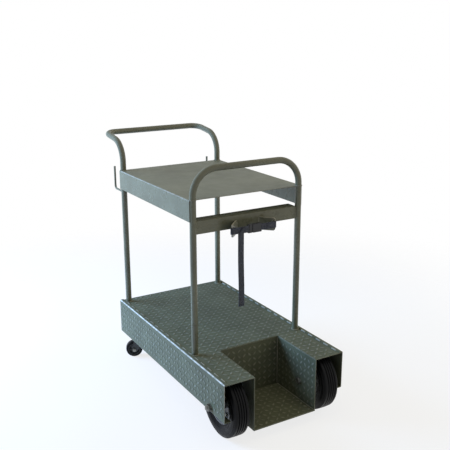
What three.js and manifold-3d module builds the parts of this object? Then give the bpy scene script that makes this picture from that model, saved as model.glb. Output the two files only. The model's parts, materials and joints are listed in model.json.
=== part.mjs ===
// A welding cart: a tread plate chassis with two wheel boxes and a low bay between them, a bent tube
// frame carrying a shelf, a V rest with a strap, two large wheels and two casters.
// Millimetres, +Z up, +Y from the bay end to the handle end, X across. The origin is on the floor,
// under the middle of the cart's overall box.
import * as THREE from 'three';
import { mergeVertices } from 'three/addons/utils/BufferGeometryUtils.js';
import Module from 'manifold-3d';

const wasm = await Module();
wasm.setup();

// Chassis. Lengths along Y are measured from the bay end of the deck.
const DECK_LENGTH = 947;
const DECK_WIDTH = 534;
const TREAD_PLATE = 3.2;
const SKIRT_FLANGE = 16;
const LIP_TYRE_GAP = 4;
const AXLE_ABOVE_SKIRT_EDGE = 18;
const TYRE_HEADROOM = 2.4;
const BEND_INSIDE = 2.4;
const BAY_WIDTH = 274;
const BAY_DEPTH = 255;
const BAY_CORNER = 8;
const PLATFORM_PLATE = 5;
const PLATFORM_HEIGHT = 46;
const CHANNEL_WIDTH = 112;
const CHANNEL_DEPTH = 52;
const CHANNEL_PLATE = 4;
const CHANNEL_ABOVE_SKIRT_EDGE = 5;

// Tube frame and shelf.
const TUBE = 25.4;
const TUBE_WALL = 2;
const TUBE_FLANGE_GAP = 2.3;
const HOOP_BEHIND_BAY = 18;
const HOOP_HEIGHT = 982;
const HOOP_BEND = 100;
const HANDLE_END_GAP = 17.3;
const HANDLE_REACH = 193;
const HANDLE_HEIGHT = 1014;
const HANDLE_RISE = THREE.MathUtils.degToRad(7);
const HANDLE_BEND = 90;
const HANDLE_CORNER = 46;
const SHELF_HEIGHT = 872;
const SHELF_PLATE = 2.5;
const SHELF_APRON = 82;
const SHELF_NEAR_LAP = 2;
const SHELF_FAR_LAP = 8;
const HOOK_ROD = 9;
const HOOK_DROP = 16;
const HOOK_REACH = 100;
const HOOK_UPSTAND = 100;
const HOOK_BEND = 14;

// Crossbar, V rest and strap.
const ANGLE_LEG = 50;
const ANGLE_PLATE = 5;
const ANGLE_ROOT = 6;
const WING_START = 49;
const WING_LENGTH = 65;
const WING_HEIGHT = 51;
const WING_PLATE = 6;
const WING_SLANT = Math.PI / 4;
const WING_DROP = 20;
const WING_CORNER = 9;
const WING_TIP_BAR = 8;
const STRAP_WIDTH = 25;
const STRAP_THICKNESS = 1.5;
const STRAP_SLACK = 3;
const LOOP_EASE = 0.7;
const SLOT_EASE = 1.8;
const LOOP_NECK = 21;
const BUCKLE_NECK = 12;
const BUCKLE_OFFSET = 12;
const BUCKLE_SIDE = 1.5;
const BUCKLE_DEPTH = 11;
const BUCKLE_WALL = 2.2;
const BUCKLE_BAR = 3.4;
const BUCKLE_ROUND = 5;
const SOCKET_LENGTH = 42;
const SOCKET_MOUTH = 24;
const SOCKET_LIP = 8;
const PLUG_LENGTH = 20;
const PLUG_DEPTH = 7;
const PRONG_HEIGHT = 6.5;
const GUIDE_HEIGHT = 7;
const GUIDE_TIP_HEIGHT = 3.5;
const PRONG_END_GAP = 1;
const TAIL_LENGTH = 330;
const TAIL_LEAD = 14;

// Large wheels on axle bolts.
const WHEEL_RADIUS = 127;
const WHEEL_WIDTH = 66;
const AXLE_SETBACK = 103;
const RIM_RADIUS = 68;
const RIM_FLANGE = 8;
const RIM_SHEET = 2.5;
const GROOVE_COUNT = 4;
const GROOVE_WIDTH = 4;
const GROOVE_FLOOR = 2.7;
const GROOVE_DEPTH = 4;
const SIDEWALL_WIDEST = 32;
const CASING_WALL = 7;
const TREAD_WALL = 13;
const BEAD_WALL = 9;
const TREAD_WIDTH = 50;
const TREAD_SHOULDER = 2;
const BEAD_WIDTH = 48;
const HUB_WALL = 2.7;
const HUB_LENGTH = 58;
const BEARING_RADIUS = 17.3;
const BEARING_WIDTH = 11;
const AXLE_BOLT = 16;
const AXLE_HEAD = 10;
const AXLE_NUT = 13;
const AXLE_HEX = 24;
const AXLE_THREAD_OUT = 6;
const SPACER_WALL = 3;
const END_CHAMFER = 1.5;

// Casters.
const CASTER_INSET = 62;
const CASTER_END_INSET = 75;
const CASTER_TRAIL = 30;
const CASTER_TURN = THREE.MathUtils.degToRad(157);
const CASTER_RADIUS = 38.1;
const CASTER_WIDTH = 32;
const CASTER_TREAD = 11;
const CASTER_CROWN = 3;
const CASTER_FLAT = 13;
const CASTER_SHOULDER = 24;
const CASTER_WEB = 10;
const CASTER_PLATE_LENGTH = 95;
const CASTER_PLATE_WIDTH = 70;
const CASTER_PLATE = 4;
const CASTER_PLATE_CORNER = 8;
const RACE_RADIUS = 27;
const RACE_DEPTH = 7;
const RACE_LIP = 2.5;
const RACE_TAPER = 4.2;
const FORK_PLATE = 3.5;
const FORK_SIDE_GAP = 2.5;
const FORK_BOSS = 11;
const FORK_ROUND = 10;
const FORK_SKIRT = 25;
const KINGPIN = 12;
const KINGPIN_NUT = 7;
const KINGPIN_HEX = 19;
const CASTER_BOLT = 10;
const CASTER_HEX = 15;
const CASTER_HEAD = 6;
const CASTER_THREAD_OUT = 3;

// Clearances.
const SEAM = 0.2;
const TURNED_GAP = 0.3;
const FIT = 0.2;

// Facet counts, and the distance within which corner points are one point.
const TUBE_SIDES = 12;
const BEND_STEPS = 6;
const HOOK_SIDES = 10;
const CORNER_STEPS = 3;
const STRAP_STEPS = 5;
const WHEEL_SIDES = 24;
const SIDEWALL_STEPS = 4;
const CASTER_SIDES = 16;
const SHAFT_SIDES = 12;
const SAME_POINT = 1e-4;

// Places that follow from the sizes above.
const halfDeck = DECK_WIDTH / 2;
const halfBay = BAY_WIDTH / 2;
const skirtEdge = WHEEL_RADIUS - AXLE_ABOVE_SKIRT_EDGE;
const deckUnder = 2 * WHEEL_RADIUS + TYRE_HEADROOM;
const deckTop = deckUnder + TREAD_PLATE;
const skirtTop = deckTop + SEAM + TREAD_PLATE;
const platformUnder = PLATFORM_HEIGHT - PLATFORM_PLATE;
const tubeRadius = TUBE / 2;
const uprightX = halfDeck - SKIRT_FLANGE - TUBE_FLANGE_GAP - tubeRadius;
const hoopY = BAY_DEPTH + HOOP_BEHIND_BAY;
const handleY = DECK_LENGTH - HANDLE_END_GAP - tubeRadius;
const shelfUnder = SHELF_HEIGHT - SHELF_PLATE;
const apronBottom = SHELF_HEIGHT - SHELF_APRON;
const crossbarFront = hoopY - ANGLE_PLATE / 2;
const wheelX = (halfBay + halfDeck) / 2;
const skirtLip = halfDeck - wheelX - WHEEL_WIDTH / 2 - LIP_TYRE_GAP;
const casterX = halfDeck - CASTER_INSET;
const casterY = DECK_LENGTH - CASTER_END_INSET;
const channelNear = casterY - CHANNEL_WIDTH / 2;
const channelFar = casterY + CHANNEL_WIDTH / 2;
const channelUnder = skirtEdge + CHANNEL_ABOVE_SKIRT_EDGE;
const nearEnd = AXLE_SETBACK - WHEEL_RADIUS;
const farEnd = handleY + HANDLE_REACH + tubeRadius;
const middleY = (nearEnd + farEnd) / 2;

const cart = new THREE.Group();
cart.position.y = -middleY;

// Finishes, one new material for each piece.
const finish = (color, roughness, metalness) => () =>
  new THREE.MeshStandardMaterial({ color, roughness, metalness });
const paintedSteel = finish(0x70746a, 0.45, 0.3);
const zincSteel = finish(0xb4b8bb, 0.35, 0.9);
const casterSteel = finish(0x2e3130, 0.45, 0.4);
const rimPaint = finish(0x464643, 0.4, 0.6);
const blackRubber = finish(0x1b1b1d, 0.75, 0);
const casterRubber = finish(0x202224, 0.6, 0);
const casterPlastic = finish(0x3a3c3e, 0.55, 0);
const webbing = finish(0x1a1e29, 0.85, 0);
const blackPlastic = finish(0x141517, 0.4, 0);

// Adds one piece to a group, as a mesh of its own.
function place(parent, name, geometry, makeMaterial) {
  const mesh = new THREE.Mesh(geometry, makeMaterial());
  mesh.name = name;
  parent.add(mesh);
  return mesh;
}

// A geometry reduced to merged corner points, with its faces turned outwards.
function closed(geometry) {
  const bare = geometry.clone();
  bare.deleteAttribute('normal');
  bare.deleteAttribute('uv');
  const merged = mergeVertices(bare, SAME_POINT);
  const p = merged.attributes.position;
  const index = merged.index.array;
  const a = new THREE.Vector3();
  const b = new THREE.Vector3();
  const c = new THREE.Vector3();
  let volume = 0;
  for (let i = 0; i < index.length; i += 3) {
    a.fromBufferAttribute(p, index[i]);
    b.fromBufferAttribute(p, index[i + 1]);
    c.fromBufferAttribute(p, index[i + 2]);
    volume += a.dot(b.cross(c));
  }
  if (volume < 0) {
    for (let i = 0; i < index.length; i += 3) {
      [index[i + 1], index[i + 2]] = [index[i + 2], index[i + 1]];
    }
  }
  return merged;
}

const solid = (geometry) => {
  const { attributes, index } = closed(geometry);
  const vertProperties = new Float32Array(attributes.position.array);
  const triVerts = new Uint32Array(index.array);
  return new wasm.Manifold(new wasm.Mesh({ numProp: 3, vertProperties, triVerts }));
};

const meshed = (body) => {
  const { vertProperties, triVerts } = body.getMesh();
  const geometry = new THREE.BufferGeometry();
  geometry.setAttribute('position', new THREE.BufferAttribute(new Float32Array(vertProperties), 3));
  geometry.setIndex(new THREE.BufferAttribute(new Uint32Array(triVerts), 1));
  return geometry;
};

const cut = (geometry, ...tools) =>
  meshed(tools.reduce((body, tool) => body.subtract(solid(tool)), solid(geometry)));
const join = (geometry, ...others) =>
  meshed(others.reduce((body, other) => body.add(solid(other)), solid(geometry)));

const mirrorX = (geometry) => closed(geometry.clone().scale(-1, 1, 1));

// Plates and bars cut from an outline, run along one axis between two places.
function alongZ(outline, from, to, curveSegments = CORNER_STEPS) {
  const depth = to - from;
  const geometry = new THREE.ExtrudeGeometry(outline, { depth, bevelEnabled: false, curveSegments });
  return closed(geometry.translate(0, 0, from));
}

const AXES_TO_X = new THREE.Matrix4().makeBasis(
  new THREE.Vector3(0, 1, 0),
  new THREE.Vector3(0, 0, 1),
  new THREE.Vector3(1, 0, 0),
);
const AXES_TO_Y = new THREE.Matrix4().makeBasis(
  new THREE.Vector3(0, 0, 1),
  new THREE.Vector3(1, 0, 0),
  new THREE.Vector3(0, 1, 0),
);
// Outline drawn in (y, z), run along X.
const alongX = (outline, from, to, segments) => alongZ(outline, from, to, segments).applyMatrix4(AXES_TO_X);
// Outline drawn in (z, x), run along Y.
const alongY = (outline, from, to, segments) => alongZ(outline, from, to, segments).applyMatrix4(AXES_TO_Y);

function box(x0, x1, y0, y1, z0, z1) {
  const geometry = new THREE.BoxGeometry(x1 - x0, y1 - y0, z1 - z0);
  return closed(geometry.translate((x0 + x1) / 2, (y0 + y1) / 2, (z0 + z1) / 2));
}

// An outline with straight sides whose listed corners may be rounded: [x, y, radius].
function outlineOf(corners, Kind = THREE.Shape) {
  const outline = new Kind();
  const at = corners.map(([x, y]) => new THREE.Vector2(x, y));
  corners.forEach(([, , radius = 0], i) => {
    const here = at[i];
    const before = at[(i + at.length - 1) % at.length].clone().sub(here).normalize();
    const after = at[(i + 1) % at.length].clone().sub(here).normalize();
    const half = Math.acos(THREE.MathUtils.clamp(before.dot(after), -1, 1)) / 2;
    const reach = radius / Math.tan(half);
    const start = here.clone().addScaledVector(before, reach);
    const end = here.clone().addScaledVector(after, reach);
    if (i === 0) outline.moveTo(start.x, start.y);
    else outline.lineTo(start.x, start.y);
    if (radius > 0) {
      const middle = before.clone().add(after).normalize();
      const centre = here.clone().addScaledVector(middle, radius / Math.sin(half));
      const angle = (p) => Math.atan2(p.y - centre.y, p.x - centre.x);
      const clockwise = before.cross(after) > 0;
      outline.absarc(centre.x, centre.y, radius, angle(start), angle(end), clockwise);
      outline.lineTo(end.x, end.y);
    }
  });
  outline.closePath();
  return outline;
}

// A regular outline with a side, not a corner, across the last axis, and the given inner radius.
function ringOutline(radius, sides, Kind = THREE.Path) {
  const outline = new Kind();
  const points = [];
  for (let i = 0; i < sides; i += 1) {
    const turn = ((i + 0.5) / sides) * 2 * Math.PI;
    points.push(new THREE.Vector2(-radius * Math.sin(turn), radius * Math.cos(turn)));
  }
  outline.setFromPoints(points);
  outline.closePath();
  return outline;
}
const discOutline = (radius, sides) => ringOutline(radius, sides, THREE.Shape);
const hexOutline = (acrossFlats) => discOutline(acrossFlats / Math.sqrt(3), 6);

function holeAt(x, y, radius, sides) {
  const points = ringOutline(radius, sides).getPoints();
  return new THREE.Path(points.map((p) => new THREE.Vector2(p.x + x, p.y + y)));
}

// A ring or disc turned about X from (radius, x) points, with a flat facet straight down.
function turnedX(profile, sides) {
  const points = [...profile, profile[0]].map(([r, x]) => new THREE.Vector2(r, x));
  const geometry = new THREE.LatheGeometry(points, sides, Math.PI / sides);
  return closed(geometry.rotateZ(-Math.PI / 2));
}
const turnedY = (profile, sides) => turnedX(profile, sides).rotateZ(Math.PI / 2);
const turnedZ = (profile, sides) => turnedX(profile, sides).rotateY(-Math.PI / 2);
const sleeve = (inner, outer, from, to) => [
  [inner, from],
  [outer, from],
  [outer, to],
  [inner, to],
];
const rod = (radius, from, to) => sleeve(0, radius, from, to);

// A path of straight runs and round bends, with stations only where the tube needs them.
class BentPath extends THREE.Curve {
  constructor(corners, radii) {
    super();
    this.points = [];
    this.tangents = [];
    const heading = (i) => corners[i + 1].clone().sub(corners[i]).normalize();
    this.station(corners[0], heading(0));
    for (let i = 1; i < corners.length - 1; i += 1) {
      this.bend(corners[i], heading(i - 1), heading(i), radii[i - 1]);
    }
    this.station(corners[corners.length - 1], heading(corners.length - 2));
  }

  station(point, tangent) {
    this.points.push(point.clone());
    this.tangents.push(tangent.clone());
  }

  bend(corner, into, out, radius) {
    const turn = into.angleTo(out);
    const reach = radius * Math.tan(turn / 2);
    const start = corner.clone().addScaledVector(into, -reach);
    const inward = out.clone().addScaledVector(into, -out.dot(into)).normalize();
    const centre = start.clone().addScaledVector(inward, radius);
    for (let i = 0; i <= BEND_STEPS; i += 1) {
      const angle = (turn * i) / BEND_STEPS;
      const point = centre.clone().addScaledVector(inward, -radius * Math.cos(angle));
      point.addScaledVector(into, radius * Math.sin(angle));
      const tangent = into.clone().multiplyScalar(Math.cos(angle)).addScaledVector(inward, Math.sin(angle));
      this.station(point, tangent);
    }
  }

  get steps() {
    return this.points.length - 1;
  }

  getPointAt(u) {
    return this.points[Math.round(u * this.steps)].clone();
  }

  getTangentAt(u) {
    return this.tangents[Math.round(u * this.steps)].clone();
  }
}

// Round bar, or tube where a wall is given, bent along a path.
function bentBar(corners, radii, diameter, wall, sides = TUBE_SIDES) {
  const path = new BentPath(corners.map((c) => new THREE.Vector3(...c)), radii);
  const section = discOutline(diameter / 2, sides);
  if (wall) section.holes.push(ringOutline(diameter / 2 - wall, sides));
  return closed(new THREE.ExtrudeGeometry(section, { steps: path.steps, extrudePath: path }));
}

// Chassis: deck plate with the bay cut out of its near edge, and a hole for each foot of the tube frame.
const deckEdge = halfDeck - TREAD_PLATE - BEND_INSIDE - SEAM;
const deckOutline = outlineOf([
  [-deckEdge, 0],
  [-halfBay, 0],
  [-halfBay, BAY_DEPTH, BAY_CORNER],
  [halfBay, BAY_DEPTH, BAY_CORNER],
  [halfBay, 0],
  [deckEdge, 0],
  [deckEdge, DECK_LENGTH],
  [-deckEdge, DECK_LENGTH],
]);
const footprints = [hoopY, handleY].flatMap((y) => [-uprightX, uprightX].map((x) => [x, y]));
deckOutline.holes.push(...footprints.map(([x, y]) => holeAt(x, y, tubeRadius + FIT, TUBE_SIDES)));
place(cart, 'deck_plate', alongZ(deckOutline, deckUnder, deckTop), paintedSteel);

// Side skirts: folded plate whose top flange laps the deck, with a hole for the axle bolt. A lip turned
// in under the wheel stiffens the lower edge, and stops short of the channel at the far end.
const boltHole = AXLE_BOLT / 2 + FIT;
const bendOutside = BEND_INSIDE + TREAD_PLATE;
const skirtFlange = [
  [skirtTop, halfDeck, bendOutside],
  [skirtTop, halfDeck - SKIRT_FLANGE],
  [skirtTop - TREAD_PLATE, halfDeck - SKIRT_FLANGE],
  [skirtTop - TREAD_PLATE, halfDeck - TREAD_PLATE, BEND_INSIDE],
];
const plainSkirt = outlineOf([
  [skirtEdge, halfDeck],
  ...skirtFlange,
  [skirtEdge, halfDeck - TREAD_PLATE],
]);
const lippedSkirt = outlineOf([
  [skirtEdge, halfDeck - skirtLip],
  [skirtEdge, halfDeck, bendOutside],
  ...skirtFlange,
  [skirtEdge + TREAD_PLATE, halfDeck - TREAD_PLATE, BEND_INSIDE],
  [skirtEdge + TREAD_PLATE, halfDeck - skirtLip],
]);
const lipEnd = channelNear - SEAM;
const axleDrill = turnedX(rod(boltHole, halfBay - TREAD_PLATE, halfDeck + TREAD_PLATE), SHAFT_SIDES)
  .translate(0, AXLE_SETBACK, WHEEL_RADIUS);
const skirtLengths = join(alongY(lippedSkirt, 0, lipEnd), alongY(plainSkirt, lipEnd, DECK_LENGTH));
const rightSkirt = cut(skirtLengths, axleDrill);
place(cart, 'right_skirt', rightSkirt, paintedSteel);
place(cart, 'left_skirt', mirrorX(rightSkirt), paintedSteel);

// Bay walls: the inner sides of the wheel boxes, reaching down to the platform.
const bayWallOutline = outlineOf([
  [0, platformUnder],
  [BAY_DEPTH, platformUnder],
  [BAY_DEPTH, deckUnder - SEAM],
  [0, deckUnder - SEAM],
]);
bayWallOutline.holes.push(holeAt(AXLE_SETBACK, WHEEL_RADIUS, boltHole, SHAFT_SIDES));
const rightBayWall = alongX(bayWallOutline, halfBay, halfBay + TREAD_PLATE);
place(cart, 'right_bay_wall', rightBayWall, paintedSteel);
place(cart, 'left_bay_wall', mirrorX(rightBayWall), paintedSteel);

const bayBack = box(-halfBay - TREAD_PLATE, halfBay + TREAD_PLATE, BAY_DEPTH + SEAM,
  BAY_DEPTH + SEAM + TREAD_PLATE, platformUnder, deckUnder - SEAM);
place(cart, 'bay_back_wall', bayBack, paintedSteel);

const platformHalf = halfBay - SEAM;
const platform = box(-platformHalf, platformHalf, 0, BAY_DEPTH, platformUnder, PLATFORM_HEIGHT);
place(cart, 'platform', platform, paintedSteel);

// Far end: closing plate under the deck edge, and the folded channel that carries the casters.
const insideHalf = halfDeck - TREAD_PLATE - SEAM;
const endSkirt = box(-insideHalf, insideHalf, DECK_LENGTH - TREAD_PLATE, DECK_LENGTH,
  skirtEdge, deckUnder - SEAM);
place(cart, 'end_skirt', endSkirt, paintedSteel);

const channelRim = channelUnder + CHANNEL_DEPTH;
const channelBend = BEND_INSIDE + CHANNEL_PLATE;
const channelOutline = outlineOf([
  [channelNear, channelUnder, channelBend],
  [channelFar, channelUnder, channelBend],
  [channelFar, channelRim],
  [channelFar - CHANNEL_PLATE, channelRim],
  [channelFar - CHANNEL_PLATE, channelUnder + CHANNEL_PLATE, BEND_INSIDE],
  [channelNear + CHANNEL_PLATE, channelUnder + CHANNEL_PLATE, BEND_INSIDE],
  [channelNear + CHANNEL_PLATE, channelRim],
  [channelNear, channelRim],
]);
place(cart, 'caster_channel', alongX(channelOutline, -insideHalf, insideHalf), paintedSteel);

// Tube frame: the near hoop, and the far frame that bends out into the push handle. Its feet stand in
// the deck's holes, flush with its underside.
const footZ = deckUnder;
const frontHoop = bentBar([
  [-uprightX, hoopY, footZ],
  [-uprightX, hoopY, HOOP_HEIGHT],
  [uprightX, hoopY, HOOP_HEIGHT],
  [uprightX, hoopY, footZ],
], [HOOP_BEND, HOOP_BEND], TUBE, TUBE_WALL);
place(cart, 'front_hoop', frontHoop, paintedSteel);

const barY = handleY + HANDLE_REACH;
const elbowZ = HANDLE_HEIGHT - HANDLE_REACH * Math.tan(HANDLE_RISE);
const handleFrame = bentBar([
  [-uprightX, handleY, footZ],
  [-uprightX, handleY, elbowZ],
  [-uprightX, barY, HANDLE_HEIGHT],
  [uprightX, barY, HANDLE_HEIGHT],
  [uprightX, handleY, elbowZ],
  [uprightX, handleY, footZ],
], [HANDLE_BEND, HANDLE_CORNER, HANDLE_CORNER, HANDLE_BEND], TUBE, TUBE_WALL);
place(cart, 'handle_frame', handleFrame, paintedSteel);

// Shelf: folded sheet with deep side aprons outside the uprights, notched round the four tubes.
const apronInside = uprightX + tubeRadius + FIT + SEAM;
const apronOutside = apronInside + SHELF_PLATE;
const shelfBend = BEND_INSIDE + SHELF_PLATE;
const shelfOutline = outlineOf([
  [apronBottom, -apronOutside],
  [SHELF_HEIGHT, -apronOutside, shelfBend],
  [SHELF_HEIGHT, apronOutside, shelfBend],
  [apronBottom, apronOutside],
  [apronBottom, apronInside],
  [shelfUnder, apronInside, BEND_INSIDE],
  [shelfUnder, -apronInside, BEND_INSIDE],
  [apronBottom, -apronInside],
]);
const shelfNear = hoopY - SHELF_NEAR_LAP;
const shelfFar = handleY + SHELF_FAR_LAP;
const tubeDrill = rod(tubeRadius + FIT, shelfUnder - SHELF_PLATE, SHELF_HEIGHT + SHELF_PLATE);
const notches = footprints.map(([x, y]) => turnedZ(tubeDrill, TUBE_SIDES).translate(x, y, 0));
place(cart, 'shelf', cut(alongY(shelfOutline, shelfNear, shelfFar), ...notches), paintedSteel);

// Cable hooks behind the far uprights, just under the aprons.
const hookZ = apronBottom - HOOK_DROP;
const hookRoot = handleY + tubeRadius + SEAM;
const hookTip = handleY + HOOK_REACH;
const cableHook = (x) => bentBar([
  [x, hookRoot, hookZ],
  [x, hookTip, hookZ],
  [x, hookTip, hookZ + HOOK_UPSTAND],
], [HOOK_BEND], HOOK_ROD, 0, HOOK_SIDES);
place(cart, 'left_cable_hook', cableHook(-uprightX), paintedSteel);
place(cart, 'right_cable_hook', cableHook(uprightX), paintedSteel);

// Crossbar: rolled angle between the hoop uprights, its top leg turned back under the shelf.
const crossbarTop = apronBottom;
const crossbarEnd = uprightX - tubeRadius - SEAM;
const crossbarOutline = outlineOf([
  [crossbarFront, crossbarTop - ANGLE_LEG],
  [crossbarFront + ANGLE_PLATE, crossbarTop - ANGLE_LEG],
  [crossbarFront + ANGLE_PLATE, crossbarTop - ANGLE_PLATE, ANGLE_ROOT],
  [crossbarFront + ANGLE_LEG, crossbarTop - ANGLE_PLATE],
  [crossbarFront + ANGLE_LEG, crossbarTop],
  [crossbarFront, crossbarTop],
]);
place(cart, 'crossbar', alongX(crossbarOutline, -crossbarEnd, crossbarEnd), paintedSteel);

// V rest: two slanted wings on the crossbar's face, each with a strap slot near its tip.
const wingTop = crossbarTop - WING_DROP;
const wingMiddle = wingTop - WING_HEIGHT / 2;
const slotHalf = STRAP_WIDTH / 2 + STRAP_SLACK;
const loopBore = Math.hypot(WING_TIP_BAR / 2, WING_PLATE / 2) + LOOP_EASE;
const slotTo = WING_LENGTH - WING_TIP_BAR;
const slotFrom = slotTo - (loopBore + STRAP_THICKNESS - WING_TIP_BAR / 2 + SLOT_EASE);
const wingOverrun = WING_PLATE * 2;
const wingOutline = outlineOf([
  [-wingOverrun, -WING_HEIGHT / 2],
  [WING_LENGTH, -WING_HEIGHT / 2, WING_CORNER],
  [WING_LENGTH, WING_HEIGHT / 2, WING_CORNER],
  [-wingOverrun, WING_HEIGHT / 2],
]);
wingOutline.holes.push(outlineOf([
  [slotFrom, -slotHalf],
  [slotTo, -slotHalf],
  [slotTo, slotHalf],
  [slotFrom, slotHalf],
], THREE.Path));
// Run (length, height) with its thickness behind, swung from along X to slant forwards.
const wingFlat = alongZ(wingOutline, -WING_PLATE, 0).rotateX(Math.PI / 2).rotateZ(-WING_SLANT);
const wingPlaced = wingFlat.translate(WING_START, crossbarFront - SEAM, wingMiddle);
const behindFace = box(-halfDeck, halfDeck, crossbarFront - SEAM, crossbarFront + halfDeck,
  wingTop - WING_HEIGHT * 2, wingTop + WING_HEIGHT);
const rightWing = cut(wingPlaced, behindFace);
place(cart, 'right_rest_wing', rightWing, paintedSteel);
place(cart, 'left_rest_wing', mirrorX(rightWing), paintedSteel);

// Strap, drawn in plan: a sewn loop round each end bar, drawn taut between them.
const along = new THREE.Vector2(Math.cos(WING_SLANT), -Math.sin(WING_SLANT));
const through = new THREE.Vector2(Math.sin(WING_SLANT), Math.cos(WING_SLANT));
const tipBar = new THREE.Vector2(WING_START, crossbarFront - SEAM)
  .addScaledVector(along, WING_LENGTH - WING_TIP_BAR / 2)
  .addScaledVector(through, WING_PLATE / 2);
const loopOutside = loopBore + STRAP_THICKNESS;
const strapFront = tipBar.y - loopOutside;
const strapBack = strapFront + STRAP_THICKNESS;
const strapLow = wingMiddle - STRAP_WIDTH / 2;
const strapHigh = wingMiddle + STRAP_WIDTH / 2;
const barLoopBore = BUCKLE_BAR / 2 + FIT * 2;

// The lean of the returning ply that closes a loop: it leaves the loop's outside and meets the strap
// one neck away, so it stands off the bar's centre by the loop's outer radius.
const plyLean = ({ bore, neck }) =>
  Math.atan2(bore, neck) + Math.asin((bore + STRAP_THICKNESS) / Math.hypot(bore, neck));

// One strap in plan: a straight run along its front face with a sewn loop round the bar at each end.
function strapOutline(left, right) {
  const outline = new THREE.Shape();
  outline.moveTo(left.x, strapFront);
  outline.lineTo(right.x, strapFront);
  for (const [loop, side] of [[right, -1], [left, 1]]) {
    const lean = plyLean(loop);
    const radius = loop.bore + STRAP_THICKNESS;
    const tip = loop.x + side * loop.neck;
    const start = side < 0 ? -Math.PI / 2 : Math.PI / 2 - lean;
    const end = side < 0 ? Math.PI / 2 + lean : (3 * Math.PI) / 2;
    if (side > 0) outline.lineTo(tip, strapBack);
    outline.absarc(loop.x, strapFront + radius, radius, start, end, false);
    if (side < 0) outline.lineTo(tip, strapBack);
    const opening = new THREE.Path();
    const inside = loop.bore - SEAM;
    opening.absarc(loop.x, strapFront + radius, inside, start, end, false);
    opening.lineTo(loop.x + (side * inside * (1 + Math.cos(lean))) / Math.sin(lean), strapBack + SEAM);
    opening.closePath();
    outline.holes.push(opening);
  }
  return outline;
}

const plugBarX = BUCKLE_OFFSET - SOCKET_LENGTH / 2 - PLUG_LENGTH + BUCKLE_BAR / 2;
const socketBarX = BUCKLE_OFFSET + SOCKET_LENGTH / 2 - BUCKLE_BAR / 2;
const wingLoop = (side) => ({ x: side * tipBar.x, bore: loopBore, neck: LOOP_NECK });
const buckleLoop = (x) => ({ x, bore: barLoopBore, neck: BUCKLE_NECK });
const strapBetween = (left, right) => alongZ(strapOutline(left, right), strapLow, strapHigh, STRAP_STEPS);
place(cart, 'left_strap', strapBetween(wingLoop(-1), buckleLoop(plugBarX)), webbing);
place(cart, 'right_strap', strapBetween(buckleLoop(socketBarX), wingLoop(1)), webbing);

// The strap's spare end: out of the buckle in front of the strap, folded over and hanging straight.
const tailBack = strapFront - TURNED_GAP;
const tailStart = plugBarX - BUCKLE_NECK / 2;
const tailInner = tailStart - TAIL_LEAD;
const tailOutline = outlineOf([
  [strapHigh, tailStart],
  [strapHigh, tailInner],
  [strapLow, tailInner - STRAP_WIDTH],
  [strapHigh - (TAIL_LENGTH - TAIL_LEAD), tailInner - STRAP_WIDTH],
  [strapHigh - (TAIL_LENGTH - TAIL_LEAD), tailInner],
  [strapLow, tailInner],
  [strapLow, tailStart],
]);
place(cart, 'strap_tail', alongY(tailOutline, tailBack - STRAP_THICKNESS, tailBack), webbing);

// Side-release buckle: a hollow socket, and a plug with a guide and two sprung prongs.
const buckleHalf = slotHalf + BUCKLE_SIDE;
const buckleLeft = BUCKLE_OFFSET - SOCKET_LENGTH / 2;
const buckleY = strapFront + barLoopBore + STRAP_THICKNESS;
const webGap = barLoopBore + STRAP_THICKNESS + FIT;
const barSlot = (from, to) =>
  box(from, to, buckleY - BUCKLE_DEPTH, buckleY + BUCKLE_DEPTH, -slotHalf, slotHalf);
function barOf(barX) {
  const reach = slotHalf + BUCKLE_SIDE / 2;
  return turnedZ(rod(BUCKLE_BAR / 2, -reach, reach), SHAFT_SIDES).translate(barX, buckleY, 0);
}
const upright = (geometry) => geometry.translate(0, 0, wingMiddle);
const socketShell = alongY(outlineOf([
  [-buckleHalf, buckleLeft, BUCKLE_ROUND / 2],
  [buckleHalf, buckleLeft, BUCKLE_ROUND / 2],
  [buckleHalf, socketBarX + BUCKLE_BAR / 2, BUCKLE_ROUND],
  [-buckleHalf, socketBarX + BUCKLE_BAR / 2, BUCKLE_ROUND],
]), buckleY - BUCKLE_DEPTH / 2, buckleY + BUCKLE_DEPTH / 2);
const mouthHalf = buckleHalf - BUCKLE_WALL;
const socketMouth = box(buckleLeft - BUCKLE_WALL, buckleLeft + SOCKET_MOUTH, buckleY - PLUG_DEPTH / 2 - FIT,
  buckleY + PLUG_DEPTH / 2 + FIT, -mouthHalf, mouthHalf);
const windowFrom = buckleLeft + SOCKET_LIP;
const sideWindow = box(windowFrom, buckleLeft + SOCKET_MOUTH, buckleY - PLUG_DEPTH / 2 - FIT,
  buckleY + PLUG_DEPTH / 2 + FIT, -buckleHalf - BUCKLE_WALL, buckleHalf + BUCKLE_WALL);
const socketSlot = barSlot(socketBarX - webGap, socketBarX + webGap);
const socket = join(cut(socketShell, socketMouth, sideWindow, socketSlot), barOf(socketBarX));
place(cart, 'buckle_socket', upright(socket), blackPlastic);

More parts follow.
